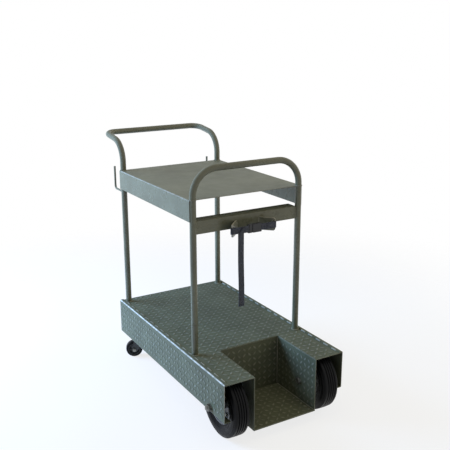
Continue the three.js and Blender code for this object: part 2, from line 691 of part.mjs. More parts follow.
const plugEnd = buckleLeft + SOCKET_MOUTH - PRONG_END_GAP;
const plugBase = cut(alongY(outlineOf([
  [-buckleHalf, plugBarX - BUCKLE_BAR / 2, BUCKLE_ROUND / 2],
  [buckleHalf, plugBarX - BUCKLE_BAR / 2, BUCKLE_ROUND / 2],
  [buckleHalf, buckleLeft - TURNED_GAP, BUCKLE_ROUND / 2],
  [-buckleHalf, buckleLeft - TURNED_GAP, BUCKLE_ROUND / 2],
]), buckleY - PLUG_DEPTH / 2, buckleY + PLUG_DEPTH / 2), barSlot(plugBarX - webGap, plugBarX + webGap));
const prongFrom = buckleLeft - BUCKLE_WALL;
const prongY = [buckleY - PLUG_DEPTH / 2 + FIT, buckleY + PLUG_DEPTH / 2 - FIT];
const prongTop = mouthHalf - FIT;
const prongOf = (side) => {
  const tip = [plugEnd, side * (prongTop - PRONG_HEIGHT / 2)];
  return alongY(outlineOf([
    [side * prongTop, prongFrom],
    [side * prongTop, windowFrom + FIT],
    [side * (buckleHalf - FIT), windowFrom + FIT + BUCKLE_WALL],
    [side * (buckleHalf - FIT), plugEnd - PRONG_HEIGHT],
    [tip[1], tip[0]],
    [side * (prongTop - PRONG_HEIGHT), prongFrom],
  ]), prongY[0], prongY[1]);
};
const guide = alongY(outlineOf([
  [-GUIDE_HEIGHT / 2, prongFrom],
  [GUIDE_HEIGHT / 2, prongFrom],
  [GUIDE_TIP_HEIGHT / 2, plugEnd],
  [-GUIDE_TIP_HEIGHT / 2, plugEnd],
]), prongY[0], prongY[1]);
const plug = join(plugBase, barOf(plugBarX), prongOf(1), prongOf(-1), guide);
place(cart, 'buckle_plug', upright(plug), blackPlastic);

// Large wheels. Profiles are (radius, x) about the axle, x growing towards the skirt.
const facetOut = 1 / Math.cos(Math.PI / WHEEL_SIDES);
const hubRadius = BEARING_RADIUS + FIT + HUB_WALL;
// Tyre: a casing open towards the rim, with grooves round its tread.
function tyreProfile() {
  const bead = BEAD_WIDTH / 2;
  const tread = TREAD_WIDTH / 2;
  const sidewall = new THREE.SplineCurve([
    new THREE.Vector2(RIM_RADIUS + RIM_FLANGE, bead),
    new THREE.Vector2(RIM_RADIUS + SIDEWALL_WIDEST, WHEEL_WIDTH / 2),
    new THREE.Vector2(WHEEL_RADIUS - TREAD_SHOULDER, tread + TREAD_SHOULDER),
  ]);
  const flank = [
    [RIM_RADIUS + SEAM, bead],
    ...sidewall.getPoints(SIDEWALL_STEPS).map((p) => [p.x, p.y]),
    [WHEEL_RADIUS, tread],
  ];
  const inside = [
    [RIM_RADIUS + SEAM, bead - BEAD_WALL],
    [RIM_RADIUS + SIDEWALL_WIDEST, WHEEL_WIDTH / 2 - CASING_WALL],
    [WHEEL_RADIUS - TREAD_WALL, tread - CASING_WALL],
  ];
  const mirrored = (points) => points.map(([r, x]) => [r, -x]);
  const profile = mirrored(flank);
  const pitch = TREAD_WIDTH / (GROOVE_COUNT + 1);
  for (let i = 1; i <= GROOVE_COUNT; i += 1) {
    const middle = -tread + pitch * i;
    profile.push([WHEEL_RADIUS, middle - GROOVE_WIDTH / 2]);
    profile.push([WHEEL_RADIUS - GROOVE_DEPTH, middle - GROOVE_FLOOR / 2]);
    profile.push([WHEEL_RADIUS - GROOVE_DEPTH, middle + GROOVE_FLOOR / 2]);
    profile.push([WHEEL_RADIUS, middle + GROOVE_WIDTH / 2]);
  }
  profile.push(...flank.reverse(), ...inside, ...mirrored(inside).reverse());
  return profile.map(([r, x]) => [r * facetOut, x]);
}

// Half of the rim: a pressed cup whose disc meets the other half, with a flange turned up at the bead.
function rimProfile() {
  const bead = BEAD_WIDTH / 2 + FIT;
  const root = hubRadius + TURNED_GAP;
  const lip = RIM_RADIUS + RIM_FLANGE;
  return [
    [root, FIT / 2],
    [RIM_RADIUS, FIT / 2],
    [RIM_RADIUS, bead],
    [lip, bead],
    [lip, bead + RIM_SHEET],
    [RIM_RADIUS - RIM_SHEET, bead + RIM_SHEET],
    [RIM_RADIUS - RIM_SHEET, FIT / 2 + RIM_SHEET],
    [root, FIT / 2 + RIM_SHEET],
  ].map(([r, x]) => [r * facetOut, x]);
}

function hexBolt(diameter, length, headHeight, acrossFlats) {
  const head = alongX(hexOutline(acrossFlats), -headHeight, 0);
  const shank = [
    [0, -headHeight / 2],
    [diameter / 2, -headHeight / 2],
    [diameter / 2, length - END_CHAMFER],
    [diameter / 2 - END_CHAMFER, length],
    [0, length],
  ];
  return join(head, turnedX(shank, SHAFT_SIDES));
}

function hexNut(bore, height, acrossFlats) {
  const outline = hexOutline(acrossFlats);
  outline.holes.push(ringOutline(bore / 2 + FIT, SHAFT_SIDES));
  return alongX(outline, 0, height);
}

const shaftBore = (AXLE_BOLT / 2 + FIT) / Math.cos(Math.PI / SHAFT_SIDES);
const hubHalf = HUB_LENGTH / 2;
const axleLength = halfDeck - halfBay + AXLE_NUT + AXLE_THREAD_OUT;
const spacerLength = wheelX - hubHalf - halfBay - TREAD_PLATE - SEAM * 2;
const spacer = sleeve(shaftBore, shaftBore + SPACER_WALL, 0, spacerLength);
function addWheel(side, name) {
  const wheel = new THREE.Group();
  wheel.position.set(side * wheelX, AXLE_SETBACK, WHEEL_RADIUS);
  cart.add(wheel);
  const facing = (geometry) => (side > 0 ? geometry : mirrorX(geometry));
  const part = (label, geometry, makeMaterial) =>
    place(wheel, `${name}_${label}`, facing(geometry), makeMaterial);
  part('tyre', turnedX(tyreProfile(), WHEEL_SIDES), blackRubber);
  const rim = turnedX(rimProfile(), WHEEL_SIDES);
  part('rim_outer', rim, rimPaint);
  part('rim_inner', mirrorX(rim), rimPaint);
  const hub = sleeve(BEARING_RADIUS + FIT, hubRadius, -hubHalf, hubHalf);
  part('hub', turnedX(hub, CASTER_SIDES), zincSteel);
  const bearing = turnedX(sleeve(shaftBore, BEARING_RADIUS, 0, BEARING_WIDTH), CASTER_SIDES);
  part('bearing_outer', bearing.clone().translate(hubHalf - BEARING_WIDTH, 0, 0), zincSteel);
  part('bearing_inner', bearing.clone().translate(-hubHalf, 0, 0), zincSteel);
  const toBayFace = halfBay - wheelX - SEAM;
  const toSkirtFace = halfDeck - wheelX + SEAM;
  const bolt = hexBolt(AXLE_BOLT, axleLength, AXLE_HEAD, AXLE_HEX);
  part('axle_bolt', bolt.translate(toBayFace, 0, 0), zincSteel);
  part('axle_nut', hexNut(AXLE_BOLT, AXLE_NUT, AXLE_HEX).translate(toSkirtFace, 0, 0), zincSteel);
  const sleeveRing = turnedX(spacer, SHAFT_SIDES);
  part('spacer_outer', sleeveRing.clone().translate(hubHalf + SEAM, 0, 0), zincSteel);
  part('spacer_inner', mirrorX(sleeveRing).translate(-hubHalf - SEAM, 0, 0), zincSteel);
}
addWheel(-1, 'left_wheel');
addWheel(1, 'right_wheel');

// Casters, built about the swivel axis with the wheel trailing along X, then turned as they stand.
const plateTop = channelUnder - TURNED_GAP;
const plateUnder = plateTop - CASTER_PLATE;
const raceTop = plateUnder - SEAM;
const raceUnder = raceTop - RACE_DEPTH;
const crownTop = raceUnder - TURNED_GAP;
const crownUnder = crownTop - FORK_PLATE;
const casterFacet = 1 / Math.cos(Math.PI / CASTER_SIDES);
const forkInside = CASTER_WIDTH / 2 + FORK_SIDE_GAP;
const forkOutside = forkInside + FORK_PLATE;

function casterFork() {
  const leg = outlineOf([
    [-FORK_SKIRT, crownTop],
    [-FORK_SKIRT, crownUnder - FORK_PLATE],
    [CASTER_TRAIL - FORK_BOSS, CASTER_RADIUS - FORK_BOSS, FORK_ROUND],
    [CASTER_TRAIL + FORK_BOSS, CASTER_RADIUS - FORK_BOSS, FORK_ROUND],
    [CASTER_TRAIL + FORK_BOSS, CASTER_RADIUS + FORK_BOSS],
    [FORK_SKIRT, crownUnder - FORK_PLATE],
    [FORK_SKIRT, crownTop],
  ]);
  leg.holes.push(holeAt(CASTER_TRAIL, CASTER_RADIUS, CASTER_BOLT / 2 + FIT, SHAFT_SIDES));
  const side = alongZ(leg, 0, FORK_PLATE).rotateX(Math.PI / 2);
  const crown = outlineOf([
    [-FORK_SKIRT, -forkOutside],
    [FORK_SKIRT, -forkOutside],
    [FORK_SKIRT, forkOutside],
    [-FORK_SKIRT, forkOutside],
  ]);
  crown.holes.push(ringOutline(KINGPIN / 2 + TURNED_GAP, SHAFT_SIDES));
  return join(
    alongZ(crown, crownUnder, crownTop),
    side.clone().translate(0, forkOutside, 0),
    side.clone().translate(0, -forkInside, 0),
  );
}

const casterTread = () => {
  const half = CASTER_WIDTH / 2;
  const core = CASTER_RADIUS - CASTER_TREAD;
  return [
    [core + FIT, -half],
    [CASTER_RADIUS - CASTER_CROWN * 2, -half],
    [CASTER_RADIUS - CASTER_CROWN / 2, -CASTER_SHOULDER / 2],
    [CASTER_RADIUS, -CASTER_FLAT / 2],
    [CASTER_RADIUS, CASTER_FLAT / 2],
    [CASTER_RADIUS - CASTER_CROWN / 2, CASTER_SHOULDER / 2],
    [CASTER_RADIUS - CASTER_CROWN * 2, half],
    [core + FIT, half],
  ].map(([r, y]) => [r * casterFacet, y]);
};

const casterCore = () => {
  const half = CASTER_WIDTH / 2;
  const core = CASTER_RADIUS - CASTER_TREAD;
  const bore = CASTER_BOLT / 2 + TURNED_GAP;
  const boss = bore + SPACER_WALL;
  const web = CASTER_WEB / 2;
  return [
    [bore, -half - FORK_SIDE_GAP + TURNED_GAP],
    [boss, -half - FORK_SIDE_GAP + TURNED_GAP],
    [boss + SPACER_WALL, -web],
    [core - SPACER_WALL, -web],
    [core - SPACER_WALL, -half],
    [core, -half],
    [core, half],
    [core - SPACER_WALL, half],
    [core - SPACER_WALL, web],
    [boss + SPACER_WALL, web],
    [boss, half + FORK_SIDE_GAP - TURNED_GAP],
    [bore, half + FORK_SIDE_GAP - TURNED_GAP],
  ].map(([r, y]) => [r * casterFacet, y]);
};

function addCaster(side, name) {
  const mount = new THREE.Group();
  mount.position.set(side * casterX, casterY, 0);
  cart.add(mount);
  const swivel = new THREE.Group();
  swivel.rotation.z = CASTER_TURN;
  mount.add(swivel);
  const addTo = (group) => (label, geometry, makeMaterial) =>
    place(group, `${name}_${label}`, geometry, makeMaterial);
  const fixed = addTo(mount);
  const turning = addTo(swivel);

  const plateX = CASTER_PLATE_LENGTH / 2;
  const plateY = CASTER_PLATE_WIDTH / 2;
  const plate = outlineOf([
    [-plateX, -plateY, CASTER_PLATE_CORNER],
    [plateX, -plateY, CASTER_PLATE_CORNER],
    [plateX, plateY, CASTER_PLATE_CORNER],
    [-plateX, plateY, CASTER_PLATE_CORNER],
  ]);
  const pinBore = KINGPIN / 2 + FIT;
  plate.holes.push(ringOutline(pinBore, SHAFT_SIDES));
  fixed('plate', alongZ(plate, plateUnder, plateTop), casterSteel);
  fixed('race', turnedZ([
    [pinBore, raceTop],
    [RACE_RADIUS, raceTop],
    [RACE_RADIUS, raceTop - RACE_LIP],
    [RACE_RADIUS - RACE_TAPER, raceUnder],
    [pinBore, raceUnder],
  ], CASTER_SIDES), casterSteel);
  const nutTop = crownUnder - TURNED_GAP;
  const nutHex = alongZ(hexOutline(KINGPIN_HEX), nutTop - KINGPIN_NUT, nutTop);
  const pin = turnedZ(rod(KINGPIN / 2, nutTop - KINGPIN_NUT, plateTop), SHAFT_SIDES);
  fixed('kingpin', join(nutHex, pin), zincSteel);

  turning('fork', casterFork(), casterSteel);
  const atAxle = (geometry) => geometry.translate(CASTER_TRAIL, 0, CASTER_RADIUS);
  turning('tread', atAxle(turnedY(casterTread(), CASTER_SIDES)), casterRubber);
  turning('core', atAxle(turnedY(casterCore(), CASTER_SIDES)), casterPlastic);
  const grip = 2 * forkOutside + 2 * TURNED_GAP;
  const boltLength = grip + CASTER_HEAD + CASTER_THREAD_OUT;
  const bolt = hexBolt(CASTER_BOLT, boltLength, CASTER_HEAD, CASTER_HEX);
  const nut = hexNut(CASTER_BOLT, CASTER_HEAD, CASTER_HEX);
  const headFace = -forkOutside - TURNED_GAP;
  turning('axle_bolt', atAxle(bolt.translate(headFace, 0, 0).rotateZ(Math.PI / 2)), zincSteel);
  turning('axle_nut', atAxle(nut.translate(headFace + grip, 0, 0).rotateZ(Math.PI / 2)), zincSteel);
}
addCaster(-1, 'left_caster');
addCaster(1, 'right_caster');

export default cart;
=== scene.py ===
# %% [markdown]
# # A welding cart
# The cart's solids are already built to size. Here they are loaded as a fixed frame, in metres, with
# +Z up and +Y running from the low bay to the push handle. Each step below makes a finer skin for some
# of those solids: round tubes in place of faceted ones, plates with soft edges and raised treads,
# woven straps. A skin takes its place from the solid that it stands for, so nothing has to be fitted.

# %% Load the frame
import json
import math
from collections import namedtuple

import bmesh
import bpy
import numpy as np
from mathutils import Matrix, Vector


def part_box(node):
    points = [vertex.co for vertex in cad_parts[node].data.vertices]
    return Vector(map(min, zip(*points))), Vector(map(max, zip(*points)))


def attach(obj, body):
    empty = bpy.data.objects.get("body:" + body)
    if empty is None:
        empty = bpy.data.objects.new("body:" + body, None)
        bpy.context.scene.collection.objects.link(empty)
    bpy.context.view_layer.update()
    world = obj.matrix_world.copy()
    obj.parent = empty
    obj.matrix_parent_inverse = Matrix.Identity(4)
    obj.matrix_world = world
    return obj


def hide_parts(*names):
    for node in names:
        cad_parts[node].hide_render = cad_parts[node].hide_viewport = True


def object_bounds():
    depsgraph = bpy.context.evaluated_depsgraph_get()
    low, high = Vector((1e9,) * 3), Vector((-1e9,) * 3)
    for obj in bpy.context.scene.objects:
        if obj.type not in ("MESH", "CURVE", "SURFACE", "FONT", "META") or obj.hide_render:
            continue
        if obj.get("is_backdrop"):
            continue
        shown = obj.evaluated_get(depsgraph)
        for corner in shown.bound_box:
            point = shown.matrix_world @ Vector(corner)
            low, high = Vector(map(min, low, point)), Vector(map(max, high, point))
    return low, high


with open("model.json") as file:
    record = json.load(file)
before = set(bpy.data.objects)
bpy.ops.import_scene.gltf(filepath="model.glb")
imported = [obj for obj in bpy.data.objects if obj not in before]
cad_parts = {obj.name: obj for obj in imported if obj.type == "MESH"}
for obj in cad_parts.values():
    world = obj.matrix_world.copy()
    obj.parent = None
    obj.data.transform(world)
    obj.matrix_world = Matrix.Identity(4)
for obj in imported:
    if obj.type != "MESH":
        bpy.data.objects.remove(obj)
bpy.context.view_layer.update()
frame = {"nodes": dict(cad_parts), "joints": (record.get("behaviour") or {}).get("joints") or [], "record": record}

hinges = {joint["name"]: joint for joint in frame["joints"]}
slot_of_node = {part["node"]: part["material_slot"] for part in frame["record"]["subparts"]}
print("solids:", len(frame["nodes"]), "hinges:", len(hinges))

# %% [markdown]
# ## Camera
# The view is from the left of the bay end, a little higher than the push handle. The camera's place
# was worked out from the straight edges of the cart, so it is written as a point and three angles.
# The focal length is kept in pixels of a square picture, and turned into the lens that gives it.

# %% Camera
PICTURE_SIDE = 450
FOCAL_PIXELS = 709.1
SENSOR_WIDTH = 36.0
CAMERA_AT = np.array((-1.3985, -2.4862, 1.4790))
CAMERA_YAW = 0.5312
CAMERA_PITCH = 0.2740
CAMERA_ROLL = -0.0037


def unit(vectors):
    """Each vector divided by its own length."""
    vectors = np.asarray(vectors, float)
    return vectors / np.linalg.norm(vectors, axis=-1, keepdims=True)


def add_camera():
    """Forward is a compass heading tipped down; right is level; up is right crossed with forward."""
    forward = np.array((
        math.sin(CAMERA_YAW) * math.cos(CAMERA_PITCH),
        math.cos(CAMERA_YAW) * math.cos(CAMERA_PITCH),
        -math.sin(CAMERA_PITCH),
    ))
    level = np.array((math.cos(CAMERA_YAW), -math.sin(CAMERA_YAW), 0.0))
    upward = np.cross(level, forward)
    right = level * math.cos(CAMERA_ROLL) + upward * math.sin(CAMERA_ROLL)
    up = np.cross(right, forward)
    data = bpy.data.cameras.new("camera")
    data.sensor_width = SENSOR_WIDTH
    data.lens = FOCAL_PIXELS / PICTURE_SIDE * SENSOR_WIDTH
    camera = bpy.data.objects.new("camera", data)
    bpy.context.scene.collection.objects.link(camera)
    placed = np.eye(4)
    placed[:3, :] = np.column_stack((right, up, -forward, CAMERA_AT))
    camera.matrix_world = Matrix(placed.tolist())
    bpy.context.scene.camera = camera
    return camera


camera = add_camera()
print("camera lens", round(camera.data.lens, 2), "mm")

# %% [markdown]
# ## Studio
# A pale floor and a few large soft lamps. The broad lamp on the left is cool, as daylight through a
# door is, and the others are weak and slightly warm. The world is white where the camera or a
# reflection sees it, and dimmer where it only lights the cart. The floor fades out with distance, so no
# horizon shows, and it glows a little, so that shadows on it stay soft.

# %% Lamps, world and floor
bpy.context.scene.view_settings.view_transform = "Standard"
FLOOR_REACH = 4.0
FLOOR_FADE = (1.1, 2.6)
FLOOR_GLOW = 0.78
LAMPS = (
    ("left_lamp", (-1.9, 1.6, 1.2), (0.0, 0.2, 0.6), 1.8, 194.0, (0.37, 0.59, 1.0)),
    ("top_lamp", (-0.2, -0.5, 3.6), (0.0, 0.0, 0.4), 2.6, 22.0, (1.0, 0.91, 0.64)),
    ("front_lamp", (1.4, -3.6, 1.7), (0.0, 0.0, 0.4), 2.2, 20.0, (1.0, 0.92, 0.70)),
    ("right_lamp", (2.6, -0.5, 1.3), (0.0, 0.0, 0.5), 2.0, 28.0, (1.0, 0.96, 0.86)),
)
WORLD_LIGHT = 0.13


def add_lamp(name, place, target, size, power, colour):
    """A square lamp whose back is turned away from its target."""
    data = bpy.data.lights.new(name, "AREA")
    data.size = size
    data.energy = power
    data.color = colour
    lamp = bpy.data.objects.new(name, data)
    lamp.visible_glossy = False
    bpy.context.scene.collection.objects.link(lamp)
    backward = unit(np.subtract(place, target))
    across = unit(np.cross((0.0, 0.0, 1.0), backward))
    placed = np.eye(4)
    placed[:3, :] = np.column_stack((across, np.cross(backward, across), backward, place))
    lamp.matrix_world = Matrix(placed.tolist())
    return lamp


def node(tree, kind, inputs=None, **settings):
    """A shader node with its settings made and its inputs linked or given values."""
    made = tree.nodes.new(kind)
    for key, value in settings.items():
        setattr(made, key, value)
    for key, value in (inputs or {}).items():
        if isinstance(value, bpy.types.NodeSocket):
            tree.links.new(value, made.inputs[key])
        else:
            made.inputs[key].default_value = value
    return made


def seen_ray(tree):
    """1 for rays from the camera, a reflection or a clear body, 0 for rays that only gather light."""
    ray = node(tree, "ShaderNodeLightPath")
    either = node(tree, "ShaderNodeMath", {
        0: ray.outputs["Is Camera Ray"], 1: ray.outputs["Is Glossy Ray"],
    }, operation="MAXIMUM")
    return node(tree, "ShaderNodeMath", {
        0: either.outputs[0], 1: ray.outputs["Is Transmission Ray"],
    }, operation="MAXIMUM").outputs[0]


def add_world():
    """White where it is seen directly or in a reflection, dimmer where it only lights."""
    world = bpy.data.worlds.new("studio")
    bpy.context.scene.world = world
    world.use_nodes = True
    tree = world.node_tree
    tree.nodes.clear()
    lit = node(tree, "ShaderNodeBackground", {"Color": (0.93, 0.96, 1.0, 1.0), "Strength": WORLD_LIGHT})
    white = node(tree, "ShaderNodeBackground", {"Color": (1.0, 1.0, 1.0, 1.0), "Strength": 1.0})
    mixed = node(tree, "ShaderNodeMixShader", {
        0: seen_ray(tree), 1: lit.outputs[0], 2: white.outputs[0],
    })
    node(tree, "ShaderNodeOutputWorld", {"Surface": mixed.outputs[0]})


def floor_finish():
    """Matt white that keeps shadows, half lit by itself where it is seen, and clear far out."""
    material = bpy.data.materials.new("floor")
    material.use_nodes = True
    tree = material.node_tree
    tree.nodes.clear()
    matt = node(tree, "ShaderNodeBsdfDiffuse", {"Color": (0.92, 0.92, 0.92, 1.0)})
    glow = node(tree, "ShaderNodeEmission", {"Color": (1.0, 1.0, 1.0, 1.0), "Strength": 1.0})
    share = node(tree, "ShaderNodeMath", {0: seen_ray(tree), 1: FLOOR_GLOW}, operation="MULTIPLY")
    near = node(tree, "ShaderNodeMixShader", {0: share.outputs[0], 1: matt.outputs[0], 2: glow.outputs[0]})
    place = node(tree, "ShaderNodeTexCoord").outputs["Object"]
    distance = node(tree, "ShaderNodeVectorMath", {0: place}, operation="LENGTH").outputs["Value"]
    fade = node(tree, "ShaderNodeMapRange", {
        "Value": distance, "From Min": FLOOR_FADE[0], "From Max": FLOOR_FADE[1],
    }, interpolation_type="SMOOTHSTEP")
    clear = node(tree, "ShaderNodeBsdfTransparent")
    mixed = node(tree, "ShaderNodeMixShader", {0: fade.outputs[0], 1: near.outputs[0], 2: clear.outputs[0]})
    node(tree, "ShaderNodeOutputMaterial", {"Surface": mixed.outputs[0]})
    return material


def add_floor():
    """A square sheet at the height that the wheels stand on."""
    mesh = bpy.data.meshes.new("floor")
    corners = FLOOR_REACH * np.array(((-1, -1, 0), (1, -1, 0), (1, 1, 0), (-1, 1, 0)))
    mesh.from_pydata(corners.tolist(), [], [(0, 1, 2, 3)])
    mesh.materials.append(floor_finish())
    floor = bpy.data.objects.new("floor", mesh)
    bpy.context.scene.collection.objects.link(floor)
    floor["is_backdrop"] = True
    return floor


for lamp_facts in LAMPS:
    add_lamp(*lamp_facts)
add_world()
add_floor()
print("lamps:", len(LAMPS))

# %% [markdown]
# ## Finishes
# The cart has few finishes: one grey-olive enamel over all the steel, zinc on its bolts, black rubber,
# dark webbing and black plastic. A finish is never one flat colour. The enamel is a little uneven, has
# a fine orange-peel surface, gathers dust where it faces up, and is rubbed bright along its edges. It
# also carries painted light: a painted highlight along some folds and on the lugs' tops, and painted
# shade round the lugs' bases. The edges, folds and lugs are known when a plate is made, so each plate
# stores their wear and painted light in a point attribute, and the enamel reads it. All patterns read
# Object coordinates, so they stay still when a wheel turns.

# %% Helpers for finishes


def colour(red, green, blue):
    """A colour given as it looks on a screen, 0 to 255, turned into linear light."""
    share = np.array((red, green, blue)) / 255
    linear = np.where(share <= 0.04045, share / 12.92, ((share + 0.055) / 1.055) ** 2.4)
    return (*linear.tolist(), 1.0)


def new_finish(name, **values):
    """A material with one Principled shader whose uniform values are set on its own sockets."""
    material = bpy.data.materials.new(name)
    material.use_nodes = True
    tree = material.node_tree
    shader = tree.nodes["Principled BSDF"]
    for key, value in values.items():
        shader.inputs[key.replace("_", " ")].default_value = value
    return material, tree, shader


def noise(tree, place, scale, detail=3.0, roughness=0.55):
    """Soft random clouds between 0 and 1, scale of them to a metre."""
    made = node(tree, "ShaderNodeTexNoise", {
        "Vector": place, "Scale": scale, "Detail": detail, "Roughness": roughness,
    })
    return made.outputs["Fac"]


def spread(tree, value, low, high, to_low=0.0, to_high=1.0):
    """Stretches low..high to a new range and cuts off what lies outside."""
    return node(tree, "ShaderNodeMapRange", {
        "Value": value, "From Min": low, "From Max": high, "To Min": to_low, "To Max": to_high,
    }).outputs["Result"]


def times(tree, first, second, operation="MULTIPLY"):
    """One number from two, multiplied unless another operation is named."""
    return node(tree, "ShaderNodeMath", {0: first, 1: second}, operation=operation).outputs[0]


def blended(tree, share, first, second):
    """A colour that runs from the first to the second as share runs from 0 to 1."""
    made = node(tree, "ShaderNodeMix", data_type="RGBA")
    for index, value in ((0, share), (6, first), (7, second)):
        if isinstance(value, bpy.types.NodeSocket):
            tree.links.new(value, made.inputs[index])
        else:
            made.inputs[index].default_value = value
    return made.outputs[2]


def bumped(tree, height, strength, distance, under=None):
    """The surface's normal, tilted as if height stood out of it by distance."""
    made = node(tree, "ShaderNodeBump", {"Height": height, "Strength": strength, "Distance": distance})
    if under is not None:
        tree.links.new(under, made.inputs["Normal"])
    return made.outputs["Normal"]


def object_place(tree):
    return node(tree, "ShaderNodeTexCoord").outputs["Object"]


print("finish helpers ready")

# %% Enamel
PAINTED_SHADE_SHARE = 0.8
SCUFF = 0.28


def enamel(name, base, roughness, dust, gloss_level=0.3):
    """Uneven colour, dust and a scuffed, duller gloss on what faces up, rubbed edges and painted
    highlights where the point attribute is above 0, painted shade where it is below 0, orange peel."""
    material, tree, shader = new_finish(name, Specular_IOR_Level=gloss_level)
    place = object_place(tree)
    cloud = noise(tree, place, 7.0, 4.0)
    speck = noise(tree, place, 130.0, 3.0)
    dark, light = (colour(*(np.array(base) * share)) for share in (0.90, 1.08))
    tone = blended(tree, spread(tree, cloud, 0.3, 0.7), dark, light)
    tone = blended(tree, spread(tree, speck, 0.45, 0.8, 0.0, 0.30), tone, colour(*(np.array(base) * 0.8)))
    facing = node(tree, "ShaderNodeNewGeometry").outputs["Normal"]
    height = node(tree, "ShaderNodeSeparateXYZ", {0: facing}).outputs["Z"]
    upper = spread(tree, height, 0.6, 1.0)
    settled = times(tree, upper, spread(tree, noise(tree, place, 18.0), 0.35, 0.75))
    tone = blended(tree, times(tree, settled, dust), tone, colour(150, 147, 132))
    wear_and_light = node(tree, "ShaderNodeAttribute", attribute_name="wear").outputs["Fac"]
    # Painted shade: where the attribute is below 0, round the lugs' bases, the enamel is darkened.
    painted_shade = times(tree, wear_and_light, -PAINTED_SHADE_SHARE)
    tone = blended(tree, painted_shade, tone, colour(*(np.array(base) * 0.45)))
    # Where the attribute is above 0 the enamel lightens: real rubbed wear on plate edges, and painted highlights
    # on folds and lug tops.
    rubbed_and_highlight = times(tree, wear_and_light, spread(tree, noise(tree, place, 45.0, 4.0), 0.36, 0.62, 0.40, 1.0))
    tone = blended(tree, rubbed_and_highlight, tone, colour(220, 214, 200))
    tree.links.new(tone, shader.inputs["Base Color"])
    gloss = spread(tree, noise(tree, place, 24.0, 4.0), 0.3, 0.7, roughness - 0.03, roughness + 0.05)
    gloss = times(tree, gloss, times(tree, upper, SCUFF), "ADD")
    tree.links.new(gloss, shader.inputs["Roughness"])
    peel = bumped(tree, noise(tree, place, 520.0, 2.0), 0.16, 0.0004)
    waves = bumped(tree, noise(tree, place, 20.0, 2.0), 0.03, 0.0010, peel)
    tree.links.new(waves, shader.inputs["Normal"])
    return material


# One enamel in two copies whose base colours differ as painted light: the smooth copy, on tubes, shelf and bars,
# is painted lighter, and the tread copy darker.
smooth_enamel = enamel("smooth_enamel", (103, 103, 84), 0.28, 0.06, 0.45)
tread_enamel = enamel("tread_enamel", (91, 94, 75), 0.42, 0.06, 0.2)
# A much lighter copy of the enamel for the deck's stitch welds: a painted highlight along them.
highlit_weld_enamel = enamel("highlit_weld_enamel", (160, 162, 152), 0.36, 0.0, 0.5)
print("enamel:", smooth_enamel.name, tread_enamel.name, highlit_weld_enamel.name)

# %% Metal, rubber, plastic and webbing


def bare_metal(name, base, roughness):
    """Plated steel: full metal with cloudy gloss and fine pitting."""
    material, tree, shader = new_finish(name, Metallic=1.0)
    place = object_place(tree)
    cloud = noise(tree, place, 60.0, 4.0)
    tone = blended(tree, spread(tree, cloud, 0.3, 0.75), colour(*base), colour(*(np.array(base) * 0.78)))
    tree.links.new(tone, shader.inputs["Base Color"])
    gloss = spread(tree, noise(tree, place, 180.0), 0.3, 0.7, roughness - 0.08, roughness + 0.14)
    tree.links.new(gloss, shader.inputs["Roughness"])
    tree.links.new(bumped(tree, noise(tree, place, 900.0), 0.12, 0.0003), shader.inputs["Normal"])
    return material


def rubber(name, base, roughness, grey):
    """Black rubber with a grey bloom and a fine matt grain."""
    material, tree, shader = new_finish(name, Specular_IOR_Level=0.12)
    place = object_place(tree)
    bloom = spread(tree, noise(tree, place, 22.0, 5.0), 0.42, 0.78, 0.0, 0.55)
    tone = blended(tree, bloom, colour(*base), colour(*grey))
    tree.links.new(tone, shader.inputs["Base Color"])
    gloss = spread(tree, noise(tree, place, 60.0), 0.3, 0.7, roughness - 0.08, roughness + 0.1)
    tree.links.new(gloss, shader.inputs["Roughness"])
    tree.links.new(bumped(tree, noise(tree, place, 700.0), 0.25, 0.0004), shader.inputs["Normal"])
    return material


def moulded(name, base, roughness):
    """Moulded plastic with a faint spark-eroded grain."""
    material, tree, shader = new_finish(name)
    place = object_place(tree)
    tone = blended(tree, noise(tree, place, 40.0), colour(*base), colour(*(np.array(base) * 1.35)))
    tree.links.new(tone, shader.inputs["Base Color"])
    gloss = spread(tree, noise(tree, place, 300.0), 0.3, 0.7, roughness - 0.06, roughness + 0.1)
    tree.links.new(gloss, shader.inputs["Roughness"])
    tree.links.new(bumped(tree, noise(tree, place, 1500.0), 0.2, 0.0002), shader.inputs["Normal"])
    return material


WARP_PITCH = 0.0016
WEFT_PITCH = 0.0011


def woven(name, base, light):
    """Webbing: ribs across and along the strap's own UV map, which is in metres."""
    material, tree, shader = new_finish(name, Sheen_Weight=0.25, Sheen_Roughness=0.5)
    flat = node(tree, "ShaderNodeUVMap", uv_map="strap").outputs["UV"]
    split = node(tree, "ShaderNodeSeparateXYZ", {0: flat})
    turn = 2 * math.pi
    warp = times(tree, times(tree, split.outputs["X"], turn / WARP_PITCH), 0.0, "SINE")
    weft = times(tree, times(tree, split.outputs["Y"], turn / WEFT_PITCH), 0.0, "SINE")
    height = times(tree, warp, weft)
    place = object_place(tree)
    fibre = noise(tree, place, 420.0, 4.0)
    share = spread(tree, times(tree, height, fibre, "ADD"), -0.3, 1.4)
    tone = blended(tree, share, colour(*base), colour(*light))
    tree.links.new(tone, shader.inputs["Base Color"])
    gloss = spread(tree, noise(tree, place, 90.0), 0.3, 0.7, 0.62, 0.85)
    tree.links.new(gloss, shader.inputs["Roughness"])
    tree.links.new(bumped(tree, height, 0.8, 0.0004), shader.inputs["Normal"])
    return material


